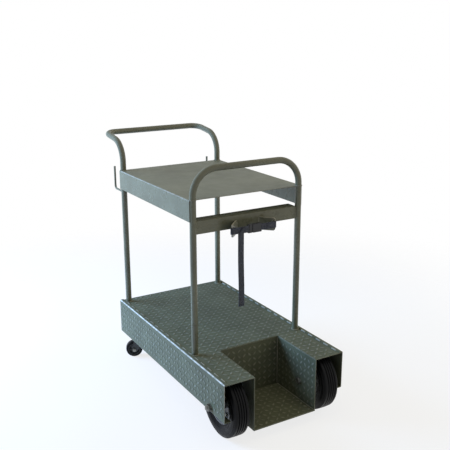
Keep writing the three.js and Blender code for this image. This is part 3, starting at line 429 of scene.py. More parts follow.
zinc = bare_metal("zinc", (142, 144, 141), 0.42)
wheel_enamel = enamel("wheel_enamel", (70, 70, 67), 0.26, 0.0, 0.5)
caster_steel = enamel("caster_steel", (46, 49, 48), 0.38, 0.0, 0.5)
tyre_rubber = rubber("tyre_rubber", (12, 12, 13), 0.36, (24, 24, 25))
caster_rubber = rubber("caster_rubber", (17, 18, 19), 0.42, (38, 39, 40))
caster_plastic = moulded("caster_plastic", (30, 32, 33), 0.5)
webbing = woven("webbing", (15, 18, 26), (50, 56, 73))
thread = woven("thread", (40, 44, 56), (66, 72, 88))
black_plastic = moulded("black_plastic", (20, 21, 23), 0.38)
finish_of_slot = {
    "painted_steel": smooth_enamel, "zinc": zinc, "rim": wheel_enamel, "tyre": tyre_rubber,
    "caster_steel": caster_steel, "caster_rubber": caster_rubber, "caster_core": caster_plastic,
    "webbing": webbing, "buckle": black_plastic,
}
for name, solid in frame["nodes"].items():
    solid.data.materials.clear()
    solid.data.materials.append(finish_of_slot[slot_of_node[name]])
print("finishes:", len(bpy.data.materials))

# %% [markdown]
# ## Skins
# A skin is an array of points, some arrays of faces, and the wear and painted light of each point. Four
# ways of making one cover nearly the whole cart: an outline carried through a plate's thickness with its
# edges rounded, a profile turned round an axis, a section carried along a path, and one small shape set
# down many times. Each is worked out on whole arrays, so a thousand lugs cost no more lines than one.

# %% Skin helpers
Skin = namedtuple("Skin", "points faces wear")


def grid_faces(rows, columns, wrap_rows=False, wrap_columns=True):
    """Four-sided faces between neighbouring rows and columns of a grid of points."""
    down = np.arange(rows if wrap_rows else rows - 1)
    across = np.arange(columns if wrap_columns else columns - 1)
    row, column = (axis.ravel() for axis in np.meshgrid(down, across, indexing="ij"))
    next_row, next_column = (row + 1) % rows, (column + 1) % columns
    corners = ((row, column), (row, next_column), (next_row, next_column), (next_row, column))
    return np.stack([r * columns + c for r, c in corners], axis=1)


def joined(*skins):
    """Several skins as one, their faces renumbered."""
    starts = np.cumsum([0] + [len(skin.points) for skin in skins])
    faces = [face + start for skin, start in zip(skins, starts) for face in skin.faces]
    wear = np.concatenate([skin.wear for skin in skins])
    return Skin(np.vstack([skin.points for skin in skins]), faces, wear)


def mirrored(skin):
    """The other hand: x changes sign, and each face runs the other way round."""
    return Skin(skin.points * (-1, 1, 1), [face[:, ::-1] for face in skin.faces], skin.wear)


def axes_of(axis):
    """Two level directions square to an axis, so that first, second and axis are right-handed."""
    axis = unit(axis)
    helper = np.array((0.0, 0.0, 1.0)) if abs(axis[2]) < 0.9 else np.array((0.0, 1.0, 0.0))
    first = unit(np.cross(helper, axis))
    return first, np.cross(axis, first), axis


def set_down(skin, origin, first, second, third):
    """Local x, y and z laid along three directions from an origin."""
    return skin._replace(points=np.asarray(origin) + skin.points @ np.stack((first, second, third)))


def rounded(corners, steps=5):
    """A closed outline whose corners (u, v, radius) are replaced by arcs tangent to both sides."""
    at = np.array([corner[:2] for corner in corners], float)
    radii = [corner[2] if len(corner) > 2 else 0.0 for corner in corners]
    before, after = unit(np.roll(at, 1, 0) - at), unit(np.roll(at, -1, 0) - at)
    share = np.linspace(0, 1, steps + 1)
    runs = []
    for here, back, ahead, radius in zip(at, before, after, radii):
        if radius == 0:
            runs.append(here[None])
            continue
        half = math.acos(np.clip(back @ ahead, -1, 1)) / 2
        centre = here + unit(back + ahead) * radius / math.sin(half)
        start, end = (here + way * radius / math.tan(half) - centre for way in (back, ahead))
        first = math.atan2(start[1], start[0])
        sweep = (math.atan2(end[1], end[0]) - first + math.pi) % (2 * math.pi) - math.pi
        angle = first + sweep * share
        runs.append(centre + radius * np.column_stack((np.cos(angle), np.sin(angle))))
    return np.vstack(runs)


def counter_clockwise(outline):
    """The outline, turned round if its signed area is negative."""
    u, v = outline.T
    area = np.sum(u * np.roll(v, -1) - v * np.roll(u, -1))
    return outline if area > 0 else outline[::-1]


LAID_ALONG = {"x": (1, 2, 0), "y": (2, 0, 1), "z": (0, 1, 2)}
EDGE_STEPS = 3
EDGE_WEAR = 0.6


def plate(outline, low, high, edge, along="z", painted_highlight=None):
    """An outline carried from low to high. Near each face it draws in along a quarter circle: inset
    is edge times one minus cosine, height is edge times sine. Outlines are (x, y), (y, z) or (z, x).
    The last argument adds a painted highlight to points of the outline, such as those of a fold."""
    outline = counter_clockwise(np.asarray(outline, float))
    into, out = unit(outline - np.roll(outline, 1, 0)), unit(np.roll(outline, -1, 0) - outline)
    normal_in, normal_out = (np.column_stack((way[:, 1], -way[:, 0])) for way in (into, out))
    mitre = (normal_in + normal_out) / (1 + np.sum(normal_in * normal_out, 1, keepdims=True))
    angle = np.linspace(0, math.pi / 2, EDGE_STEPS + 1)
    inset = edge * (1 - np.cos(angle))
    inset = np.concatenate((inset[::-1], inset))
    height = np.concatenate((low + edge * (1 - np.sin(angle[::-1])), high - edge * (1 - np.sin(angle))))
    rubbed_and_highlight = np.repeat(EDGE_WEAR * np.sin(2 * np.concatenate((angle[::-1], angle)))[:, None], len(outline), 1)
    # Edge wear on the rounding, with a painted fold highlight added where one is given.
    if painted_highlight is not None:
        rubbed_and_highlight = np.maximum(rubbed_and_highlight, painted_highlight(outline)[None])
    flat = outline[None] - inset[:, None, None] * mitre[None]
    count = len(outline)
    local = np.dstack((flat, np.repeat(height[:, None], count, 1))).reshape(-1, 3)
    points = np.empty_like(local)
    points[:, LAID_ALONG[along]] = local
    bottom = np.arange(count)[None, ::-1]
    top = np.arange(count)[None] + (len(inset) - 1) * count
    return Skin(points, [grid_faces(len(inset), count), bottom, top], rubbed_and_highlight.ravel())


def turned(profile, centre, axis, segments=64, capped=False):
    """A profile of (radius, height) carried round an axis: the point at angle a lies radius along the
    direction at a, and height along the axis. A closed profile makes a ring, a capped one a solid."""
    profile = np.asarray(profile, float)
    if capped:
        profile = profile if profile[-1, 1] > profile[0, 1] else profile[::-1]
    else:
        profile = counter_clockwise(profile)
    first, second, axis = axes_of(axis)
    angle = np.linspace(0, 2 * math.pi, segments, endpoint=False)
    spoke = np.cos(angle)[:, None] * first + np.sin(angle)[:, None] * second
    points = profile[:, 0, None, None] * spoke[None] + profile[:, 1, None, None] * axis
    faces = [grid_faces(len(profile), segments, wrap_rows=not capped)]
    if capped:
        rim = np.arange(segments)[None]
        faces += [rim[:, ::-1], rim + (len(profile) - 1) * segments]
    points = points.reshape(-1, 3) + np.asarray(centre)
    return Skin(points, faces, np.zeros(len(points)))


def carried(section, path, normals, binormals, scale=None):
    """A closed section of (u, v) carried along a path: each ring is the path's point plus u along the
    normal and v along the binormal, times the scale there. Both ends are closed."""
    section = counter_clockwise(np.asarray(section, float))
    scale = np.ones(len(path)) if scale is None else scale
    sized = section[None] * scale[:, None, None]
    points = path[:, None] + sized[..., :1] * normals[:, None] + sized[..., 1:] * binormals[:, None]
    count = len(section)
    last = (len(path) - 1) * count
    ends = [np.arange(count)[None, ::-1], np.arange(count)[None] + last]
    points = points.reshape(-1, 3)
    return Skin(points, [grid_faces(len(path), count), *ends], np.zeros(len(points)))


def circle(radius, count):
    """Points of a circle, counter-clockwise."""
    angle = np.linspace(0, 2 * math.pi, count, endpoint=False)
    return radius * np.column_stack((np.cos(angle), np.sin(angle)))


def repeated(skin, origins, firsts, seconds, thirds):
    """One small skin set down at many places, each with its own three directions."""
    turn = np.stack((firsts, seconds, thirds), axis=1)
    points = origins[:, None] + np.einsum("pk,nkd->npd", skin.points, turn)
    count = len(origins)
    offset = np.arange(count) * len(skin.points)
    faces = [(face[None] + offset[:, None, None]).reshape(-1, face.shape[1]) for face in skin.faces]
    return Skin(points.reshape(-1, 3), faces, np.tile(skin.wear, count))


print("skin helpers ready")

# %% [markdown]
# ## From skin to piece
# A piece is a mesh object that rides on one of the cart's bodies. The points, the corners of the faces
# and the wear with its painted light are written in one go. Shading is smooth except across sharp folds,
# and the normals are weighted by area, so a large flat face stays flat right up to its rounded edge.

# %% Making pieces
FOLD_ANGLE = math.radians(38)
pieces_made = []


def weigh_normals(piece):
    modifier = piece.modifiers.new("even_faces", "WEIGHTED_NORMAL")
    modifier.keep_sharp = True


def make_piece(name, skin, finish, body="chassis", stands_for=()):
    """Turns a skin into a mesh, puts it on a body, and says which solids it stands for."""
    mesh = bpy.data.meshes.new(name)
    corners = np.concatenate([face.ravel() for face in skin.faces])
    sizes = np.concatenate([np.full(len(face), face.shape[1]) for face in skin.faces])
    mesh.vertices.add(len(skin.points))
    mesh.vertices.foreach_set("co", skin.points.ravel())
    mesh.loops.add(len(corners))
    mesh.loops.foreach_set("vertex_index", corners.astype(np.int32))
    mesh.polygons.add(len(sizes))
    mesh.polygons.foreach_set("loop_start", (np.cumsum(sizes) - sizes).astype(np.int32))
    mesh.update(calc_edges=True)
    mesh.validate()
    mesh.shade_smooth()
    mesh.set_sharp_from_angle(angle=FOLD_ANGLE)
    wear_and_light = mesh.attributes.new("wear", "FLOAT", "POINT")
    wear_and_light.data.foreach_set("value", skin.wear.astype(np.float32))
    mesh.materials.append(finish)
    piece = bpy.data.objects.new(name, mesh)
    bpy.context.scene.collection.objects.link(piece)
    weigh_normals(piece)
    return put_on(piece, body, stands_for)


def put_on(piece, body, stands_for):
    """The fixed steps that every piece needs: its body, the solids that it hides, and its place in the list."""
    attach(piece, body)
    if stands_for:
        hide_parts(*stands_for)
    pieces_made.append(piece.name)
    return piece


DOUBLES_WITHIN = 2e-6


def softened_copy(name, source, edge, finish, body):
    """A copy of a solid whose loose triangles are merged and whose edges are rounded off."""
    mesh = frame["nodes"][source].data.copy()
    mesh.name = name
    shape = bmesh.new()
    shape.from_mesh(mesh)
    bmesh.ops.remove_doubles(shape, verts=shape.verts, dist=DOUBLES_WITHIN)
    bmesh.ops.dissolve_limit(shape, angle_limit=0.01, verts=shape.verts, edges=shape.edges)
    shape.to_mesh(mesh)
    shape.free()
    mesh.shade_smooth()
    mesh.set_sharp_from_angle(angle=FOLD_ANGLE)
    mesh.materials.clear()
    mesh.materials.append(finish)
    piece = bpy.data.objects.new(name, mesh)
    bpy.context.scene.collection.objects.link(piece)
    bevel = piece.modifiers.new("soft_edges", "BEVEL")
    bevel.width = edge
    bevel.segments = 2
    bevel.limit_method = "ANGLE"
    bevel.angle_limit = math.radians(28)
    weld = piece.modifiers.new("no_doubles", "WELD")
    weld.merge_threshold = DOUBLES_WITHIN
    weigh_normals(piece)
    return put_on(piece, body, (source,))


def box_of(solid):
    """Lowest and highest corner of a solid, as arrays."""
    low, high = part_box(solid)
    return np.array(low), np.array(high)


print("piece helpers ready")

# %% [markdown]
# ## Tread plate
# The chassis is folded from tread plate: sheet steel rolled with raised lugs, each a pointed lens of
# about 22 by 7 millimetres that stands 1.4 proud and leans 45 degrees, every neighbour leaning the
# other way. The lugs catch the light one by one, so they are real shapes and not a bump: one small
# mound of a few dozen faces, set down on a square grid.

# %% Lugs
LUG_HALF_LENGTH = 0.0125
LUG_HALF_WIDTH = 0.0046
LUG_HEIGHT = 0.0013
LUG_SUNK = 0.0003
LUG_PITCH = 0.0245
LUG_SIDE_POINTS = 5
LUG_RINGS = ((1.0, 0.0), (0.86, 0.74), (0.62, 1.0))


def lug():
    """A lens outline, width falling off as one minus the square of the way along it, drawn in over
    three rings as it rises."""
    along = np.linspace(-1, 1, LUG_SIDE_POINTS + 2)[:-1]
    lower = np.column_stack((along * LUG_HALF_LENGTH, -(1 - along**2) * LUG_HALF_WIDTH))
    outline = np.vstack((lower, -lower))
    rings = [np.column_stack((outline * share, np.full(len(outline), rise * LUG_HEIGHT)))
             for share, rise in LUG_RINGS]
    points = np.vstack(rings)
    count = len(outline)
    points[:count, 2] = -LUG_SUNK
    bottom = np.arange(count)[None, ::-1]
    top = np.arange(count)[None] + (len(rings) - 1) * count
    # The ring values paint shade round the lug's base (below 0) and a painted highlight on its top (above 0).
    wear = np.repeat([-0.35, 0.03, 0.19], count)
    return Skin(points, [grid_faces(len(rings), count), bottom, top], wear)


def treads(corner, across, along, spans, keep=None):
    """Lugs on a flat face: centres on a square grid inside the spans, leaning one way where the sum of
    row and column is even and the other way where it is odd. keep says which centres stay."""
    across, along = np.asarray(across, float), np.asarray(along, float)
    counts = [int((span - 0.004) // LUG_PITCH) for span in spans]
    starts = [(span - (count - 1) * LUG_PITCH) / 2 for span, count in zip(spans, counts)]
    row, column = (axis.ravel() for axis in np.meshgrid(*map(np.arange, counts), indexing="ij"))
    u, v = starts[0] + row * LUG_PITCH, starts[1] + column * LUG_PITCH
    origins = np.asarray(corner) + u[:, None] * across + v[:, None] * along
    lean = np.where((row + column) % 2 == 0, 1.0, -1.0)[:, None]
    firsts = (across + lean * along) / math.sqrt(2)
    thirds = np.broadcast_to(np.cross(across, along), firsts.shape)
    seconds = np.cross(thirds, firsts)
    chosen = np.ones(len(origins), bool) if keep is None else keep(origins)
    return repeated(lug(), origins[chosen], firsts[chosen], seconds[chosen], thirds[chosen])


print("lug faces:", sum(len(face) for face in lug().faces))

# %% Deck, platform and bay walls
PLATE_EDGE = 0.0006
BAY_CORNER = 0.008
TUBE_SIDES = 12
deck_low, deck_high = box_of("deck_plate")
wall_low, wall_high = box_of("right_bay_wall")
hoop_low, hoop_high = box_of("front_hoop")
handle_low, handle_high = box_of("handle_frame")
skirt_low, skirt_high = box_of("right_skirt")
bay_half, bay_back = wall_low[0], wall_high[1]
facet_half = (hoop_high[1] - hoop_low[1]) / 2
TUBE_RADIUS = facet_half / math.cos(math.pi / TUBE_SIDES)
upright_x = hoop_high[0] - facet_half
hoop_y = (hoop_low[1] + hoop_high[1]) / 2
handle_y = handle_low[1] + facet_half
FOOT_CLEAR = TUBE_RADIUS + 0.008
FLANGE_WIDTH = 0.016
flange_edge = skirt_high[0] - FLANGE_WIDTH


def clear_of_feet_and_bay(origins):
    """True for lugs that miss the bay, the flanges and the four feet of the tube frame."""
    x, y = np.abs(origins[:, 0]), origins[:, 1]
    off_bay = (x > bay_half + 0.010) | (y > bay_back + 0.010)
    off_flange = x < flange_edge - 0.011
    feet = [np.hypot(x - upright_x, y - foot) > FOOT_CLEAR for foot in (hoop_y, handle_y)]
    return off_bay & off_flange & feet[0] & feet[1]


deck_outline = rounded([
    (deck_low[0], deck_low[1]), (-bay_half, deck_low[1]),
    (-bay_half, bay_back, BAY_CORNER), (bay_half, bay_back, BAY_CORNER),
    (bay_half, deck_low[1]), (deck_high[0], deck_low[1]),
    (deck_high[0], deck_high[1]), (deck_low[0], deck_high[1]),
])
deck = joined(
    plate(deck_outline, deck_low[2], deck_high[2], PLATE_EDGE),
    treads((deck_low[0], deck_low[1], deck_high[2]), (1, 0, 0), (0, 1, 0),
           (deck_high - deck_low)[:2], clear_of_feet_and_bay),
)
make_piece("tread_deck", deck, tread_enamel, stands_for=("deck_plate",))


def rectangle(low, high, first, second):
    """The outline of a box seen along the third axis."""
    return np.array([(low[first], low[second]), (high[first], low[second]),
                     (high[first], high[second]), (low[first], high[second])])


platform_low, platform_high = box_of("platform")
platform = joined(
    plate(rectangle(platform_low, platform_high, 0, 1), platform_low[2], platform_high[2], PLATE_EDGE),
    treads((platform_low[0], platform_low[1], platform_high[2]), (1, 0, 0), (0, 1, 0),
           (platform_high - platform_low)[:2]),
)
make_piece("tread_platform", platform, tread_enamel, stands_for=("platform",))

AXLE_CLEAR = 0.026
axle_y, axle_z = hinges["right_wheel_spin"]["pos_m"][1:]


def clear_of_axle(origins):
    """True for lugs that miss the axle bolt's head or nut."""
    return np.hypot(origins[:, 1] - axle_y, origins[:, 2] - axle_z) > AXLE_CLEAR


wall = joined(
    plate(rectangle(wall_low, wall_high, 1, 2), wall_low[0], wall_high[0], PLATE_EDGE, "x"),
    treads((wall_low[0], wall_low[1], wall_high[2]), (0, 1, 0), (0, 0, -1),
           (wall_high - wall_low)[1:], clear_of_axle),
)
make_piece("tread_right_wall", wall, tread_enamel, stands_for=("right_bay_wall",))
make_piece("tread_left_wall", mirrored(wall), tread_enamel, stands_for=("left_bay_wall",))

back_low, back_high = box_of("bay_back_wall")
back_wall = joined(
    plate(rectangle(back_low, back_high, 2, 0), back_low[1], back_high[1], PLATE_EDGE, "y"),
    treads((-bay_half, back_low[1], back_low[2]), (1, 0, 0), (0, 0, 1),
           (2 * bay_half, back_high[2] - back_low[2])),
)
make_piece("tread_back_wall", back_wall, tread_enamel, stands_for=("bay_back_wall",))
print("tube radius", round(TUBE_RADIUS, 5), "bay", round(2 * bay_half, 4))

# %% Skirts, end plate and caster channel
PLATE_THICKNESS = deck_high[2] - deck_low[2]
FOLD_INSIDE = 0.0024
fold_outside = FOLD_INSIDE + PLATE_THICKNESS
channel_low, channel_high = box_of("caster_channel")
inner_face = skirt_high[0] - PLATE_THICKNESS
skirt_outline = rounded([
    (skirt_low[2], skirt_high[0], 0.95 * PLATE_THICKNESS), (skirt_high[2], skirt_high[0], fold_outside),
    (skirt_high[2], flange_edge), (skirt_high[2] - PLATE_THICKNESS, flange_edge),
    (skirt_high[2] - PLATE_THICKNESS, inner_face, FOLD_INSIDE), (skirt_low[2], inner_face),
], steps=8)
lip_top, root_top = skirt_low[2] + PLATE_THICKNESS, skirt_low[2] + fold_outside + 0.0005
lip_outline = rounded([
    (skirt_low[2], skirt_low[0]), (skirt_low[2], inner_face + 0.0005), (root_top, inner_face + 0.0005),
    (root_top, inner_face), (lip_top, inner_face, FOLD_INSIDE), (lip_top, skirt_low[0]),
])


def painted_fold_highlight(top, side, reach, share):
    """Painted highlight on the outside of a fold between a top height and a side distance."""
    def painted_highlight(outline):
        near = (outline[:, 0] > top - reach) & (np.abs(outline[:, 1]) > side - reach)
        return np.where(near, share, 0.0)
    return painted_highlight


def skirt_fold_highlight(outline):
    """Painted highlight on the outside of the skirt's upper fold, and half as strong on the lower one."""
    upper = painted_fold_highlight(skirt_high[2], skirt_high[0], fold_outside * 0.8, 1.0)(outline)
    lower = (outline[:, 0] < skirt_low[2] + 0.6 * PLATE_THICKNESS) & (outline[:, 1] > inner_face)
    return np.where(lower, 0.5, upper)


skirt = joined(
    plate(skirt_outline, skirt_low[1], skirt_high[1], PLATE_EDGE, "y", skirt_fold_highlight),
    plate(lip_outline, skirt_low[1], channel_low[1] - 0.0002, 0.0002, "y"),
    treads((skirt_high[0], skirt_low[1], skirt_low[2] + PLATE_THICKNESS), (0, 1, 0), (0, 0, 1),
           (skirt_high[1] - skirt_low[1], skirt_high[2] - fold_outside - skirt_low[2] - PLATE_THICKNESS),
           clear_of_axle),
)
make_piece("tread_right_skirt", skirt, tread_enamel, stands_for=("right_skirt",))
make_piece("tread_left_skirt", mirrored(skirt), tread_enamel, stands_for=("left_skirt",))

end_low, end_high = box_of("end_skirt")
end_plate = joined(
    plate(rectangle(end_low, end_high, 2, 0), end_low[1], end_high[1], PLATE_EDGE, "y"),
    treads((end_high[0], end_high[1], end_low[2]), (-1, 0, 0), (0, 0, 1), (end_high - end_low)[[0, 2]]),
)
make_piece("tread_end_plate", end_plate, tread_enamel, stands_for=("end_skirt",))

CHANNEL_PLATE = 0.004
channel_bend = FOLD_INSIDE + CHANNEL_PLATE
channel_outline = rounded([
    (channel_low[1], channel_low[2], channel_bend), (channel_high[1], channel_low[2], channel_bend),
    (channel_high[1], channel_high[2]), (channel_high[1] - CHANNEL_PLATE, channel_high[2]),
    (channel_high[1] - CHANNEL_PLATE, channel_low[2] + CHANNEL_PLATE, FOLD_INSIDE),
    (channel_low[1] + CHANNEL_PLATE, channel_low[2] + CHANNEL_PLATE, FOLD_INSIDE),
    (channel_low[1] + CHANNEL_PLATE, channel_high[2]), (channel_low[1], channel_high[2]),
])
channel = plate(channel_outline, channel_low[0], channel_high[0], PLATE_EDGE, "x")
make_piece("folded_channel", channel, smooth_enamel, stands_for=("caster_channel",))
print("skirt outline points:", len(skirt_outline))

# %% [markdown]
# ## Tube frame
# The frame is bent from two lengths of round tube. A tube bent cold keeps its round section, so it is a
# circle carried along a path of straight runs and arcs. The rings must not twist at the push handle,
# where the path leaves its plane, so each ring's normal is the last one with the part along the new
# direction taken out.

# %% Bent tube
TUBE_POINTS = 32
ARC_STEPS = 20


def bent_path(corners, radii):
    """Points and directions of straight runs joined by arcs tangent to them."""
    corners = np.asarray(corners, float)
    ways = unit(np.diff(corners, axis=0))
    points, directions = [corners[:1]], [ways[:1]]
    for corner, into, out, radius in zip(corners[1:-1], ways, ways[1:], radii):
        bend = math.acos(np.clip(into @ out, -1, 1))
        inward = unit(out - (out @ into) * into)
        start = corner - into * radius * math.tan(bend / 2)
        angle = np.linspace(0, bend, ARC_STEPS + 1)[:, None]
        points.append(start + radius * (inward * (1 - np.cos(angle)) + into * np.sin(angle)))
        directions.append(into * np.cos(angle) + inward * np.sin(angle))
    return np.vstack((*points, corners[-1:])), np.vstack((*directions, ways[-1:]))


def untwisted(directions):
    """Normals that turn as little as they can from each direction to the next, and their binormals."""
    normal = axes_of(directions[0])[0]
    normals = []
    for way in directions:
        normal = unit(normal - (normal @ way) * way)
        normals.append(normal)
    normals = np.array(normals)
    return normals, np.cross(directions, normals)


def round_bar(corners, radii, radius, count=TUBE_POINTS):
    """A circle carried along a bent path."""
    path, directions = bent_path(corners, radii)
    return carried(circle(radius, count), path, *untwisted(directions))


HOOP_BEND = 0.100
foot_z = deck_high[2]
hoop_top = hoop_high[2] - facet_half
hoop = round_bar([
    (-upright_x, hoop_y, foot_z), (-upright_x, hoop_y, hoop_top),
    (upright_x, hoop_y, hoop_top), (upright_x, hoop_y, foot_z),
], (HOOP_BEND, HOOP_BEND), TUBE_RADIUS)
make_piece("hoop_tube", hoop, smooth_enamel, stands_for=("front_hoop",))

HANDLE_BEND = 0.090
HANDLE_CORNER = 0.046
HANDLE_RISE = math.radians(7)
bar_y = handle_high[1] - TUBE_RADIUS
bar_z = handle_high[2] - TUBE_RADIUS
elbow_z = bar_z - (bar_y - handle_y) * math.tan(HANDLE_RISE)
handle = round_bar([
    (-upright_x, handle_y, foot_z), (-upright_x, handle_y, elbow_z), (-upright_x, bar_y, bar_z),
    (upright_x, bar_y, bar_z), (upright_x, handle_y, elbow_z), (upright_x, handle_y, foot_z),
], (HANDLE_BEND, HANDLE_CORNER, HANDLE_CORNER, HANDLE_BEND), TUBE_RADIUS)
make_piece("handle_tube", handle, smooth_enamel, stands_for=("handle_frame",))

HOOK_ROD = 0.0045
HOOK_BEND = 0.014
for hand in ("left", "right"):
    hook_low, hook_high = box_of(f"{hand}_cable_hook")
    hook_x = (hook_low[0] + hook_high[0]) / 2
    hook = round_bar([
        (hook_x, hook_low[1] - 0.002, hook_low[2] + HOOK_ROD),
        (hook_x, hook_high[1] - HOOK_ROD, hook_low[2] + HOOK_ROD),
        (hook_x, hook_high[1] - HOOK_ROD, hook_high[2]),
    ], (HOOK_BEND,), HOOK_ROD, 16)
    make_piece(f"{hand}_hook_rod", hook, smooth_enamel, stands_for=(f"{hand}_cable_hook",))
print("hoop top", round(hoop_top, 3), "push bar", round(bar_z, 3))

# %% [markdown]
# ## Shelf, crossbar and V rest
# The shelf is one folded sheet with deep aprons, so it is a long outline carried along Y. The crossbar
# is rolled angle, with a fillet in its root and rounded toes. Each wing of the V rest is a flat bar
# with a slot for the strap: seen from the slot's middle both its outline and the slot are star-shaped,
# so a ray at each angle meets each of them once, and the two rings of points bridge to a plate.

# %% Shelf and crossbar
SHELF_SHEET = 0.0025
shelf_low, shelf_high = box_of("shelf")
shelf_fold = FOLD_INSIDE + SHELF_SHEET
apron_inside = shelf_high[0] - SHELF_SHEET
shelf_under = shelf_high[2] - SHELF_SHEET
shelf_outline = rounded([
    (shelf_low[2], -shelf_high[0]), (shelf_high[2], -shelf_high[0], shelf_fold),
    (shelf_high[2], shelf_high[0], shelf_fold), (shelf_low[2], shelf_high[0]),
    (shelf_low[2], apron_inside), (shelf_under, apron_inside, FOLD_INSIDE),
    (shelf_under, -apron_inside, FOLD_INSIDE), (shelf_low[2], -apron_inside),
], steps=8)
# A painted highlight along the shelf's top folds.
shelf_fold_highlight = painted_fold_highlight(shelf_high[2], shelf_high[0], shelf_fold * 0.8, 0.35)
shelf = plate(shelf_outline, shelf_low[1], shelf_high[1], PLATE_EDGE, "y", shelf_fold_highlight)
make_piece("folded_shelf", shelf, smooth_enamel, stands_for=("shelf",))

ANGLE_PLATE = 0.005
ANGLE_ROOT = 0.006
ANGLE_TOE = 0.003
bar_low, bar_high = box_of("crossbar")
angle_outline = rounded([
    (bar_low[1], bar_low[2]), (bar_low[1] + ANGLE_PLATE, bar_low[2], ANGLE_TOE),
    (bar_low[1] + ANGLE_PLATE, bar_high[2] - ANGLE_PLATE, ANGLE_ROOT),
    (bar_high[1], bar_high[2] - ANGLE_PLATE, ANGLE_TOE),
    (bar_high[1], bar_high[2]), (bar_low[1], bar_high[2], 0.0008),
])
crossbar = plate(angle_outline, bar_low[0], bar_high[0], 0.0004, "x")
make_piece("angle_crossbar", crossbar, smooth_enamel, stands_for=("crossbar",))
print("apron depth", round(shelf_high[2] - shelf_low[2], 4))

# %% Wings of the V rest
WING_PLATE = 0.006
WING_LENGTH = 0.065
WING_CORNER = 0.009
WING_TIP_BAR = 0.008
WING_SLOT = 0.005
WING_SLANT = math.radians(45)
SLOT_HALF = 0.0155
WING_RAYS = 120
wing_low, wing_high = box_of("right_rest_wing")
wing_half = (wing_high[2] - wing_low[2]) / 2
wing_middle = (wing_high[2] + wing_low[2]) / 2
wing_start = np.array((wing_high[0] - (WING_LENGTH + WING_PLATE) * math.cos(WING_SLANT),
                       bar_low[1], wing_middle))


def ray_reach(outline, centre, angle):
    """How far a ray at each angle runs from the centre before it leaves a convex outline: the least,
    over the sides ahead of it, of the side's distance over the cosine of the angle to its normal."""
    outline = counter_clockwise(outline) - centre
    side = np.roll(outline, -1, 0) - outline
    side_normal = unit(np.column_stack((side[:, 1], -side[:, 0])))
    distance = np.sum(outline * side_normal, 1)
    ahead = np.column_stack((np.cos(angle), np.sin(angle))) @ side_normal.T
    return np.min(np.where(ahead > 1e-9, distance / np.maximum(ahead, 1e-9), np.inf), axis=1)


def slotted_plate(outline, slot, thickness, edge):
    """A plate with one slot: rings at the outline and at the slot, each drawn in at both faces."""
    centre = slot.mean(0)
    loops = [counter_clockwise(loop) - centre for loop in (outline, slot)]
    bearings = [np.arctan2(loop[:, 1], loop[:, 0]) for loop in loops]
    even = np.linspace(-math.pi, math.pi, WING_RAYS, endpoint=False)
    angle = np.unique(np.round(np.concatenate((even, *bearings)), 6))
    ray = np.column_stack((np.cos(angle), np.sin(angle)))
    outer = ray_reach(outline, centre, angle)
    inner = ray_reach(slot, centre, angle)
    reach = (inner + edge, inner, inner, inner + edge, outer - edge, outer, outer, outer - edge)
    height = (0.0, edge, thickness - edge, thickness, thickness, thickness - edge, edge, 0.0)
    rings = [np.column_stack((centre + ray * far[:, None], np.full(len(angle), up)))
             for far, up in zip(reach, height)]
    faces = grid_faces(len(rings), len(angle), wrap_rows=True)[:, ::-1]
    wear = np.repeat([0.0, 0.3, 0.3, 0.0, 0.0, 0.7, 0.7, 0.0], len(angle))
    return Skin(np.vstack(rings), [faces], wear)


wing_outline = rounded([
    (0.0, -wing_half), (WING_LENGTH, -wing_half, WING_CORNER),
    (WING_LENGTH, wing_half, WING_CORNER), (0.0, wing_half),
])
slot_end = WING_LENGTH - WING_TIP_BAR
slot_outline = rounded([
    (slot_end - WING_SLOT, -SLOT_HALF, 0.001), (slot_end, -SLOT_HALF, 0.001),
    (slot_end, SLOT_HALF, 0.001), (slot_end - WING_SLOT, SLOT_HALF, 0.001),
])
along_wing = np.array((math.cos(WING_SLANT), -math.sin(WING_SLANT), 0.0))
upwards = np.array((0.0, 0.0, 1.0))
through_wing = np.cross(along_wing, upwards)
wing = slotted_plate(wing_outline, slot_outline, WING_PLATE, 0.0006)
wing = set_down(wing, wing_start - through_wing * WING_PLATE, along_wing, upwards, through_wing)
make_piece("right_wing", wing, smooth_enamel, stands_for=("right_rest_wing",))
make_piece("left_wing", mirrored(wing), smooth_enamel, stands_for=("left_rest_wing",))
print("wing starts at", wing_start.round(4))

# %% [markdown]
# ## Straps
# The strap is 25 millimetre webbing in two lengths. Each is a flat ribbon carried along a path seen from
# above: round the bar at one end, straight across, round the bar at the other end, with the returning
# ply laid against the main one and sewn. The path is arcs and straight lines, and the ribbon keeps its
# length along it, so its UV map is in metres and the weave is the same size everywhere.

# %% Strap paths
STRAP_THICKNESS = 0.0015
STRAP_WIDTH = 0.025
WING_LOOP = 0.0057
WING_NECK = 0.021
BUCKLE_LOOP = 0.0021
BUCKLE_NECK = 0.012
SEWN_LENGTH = 0.018
PLY_GAP = 0.0001
LOOP_STEPS = 28


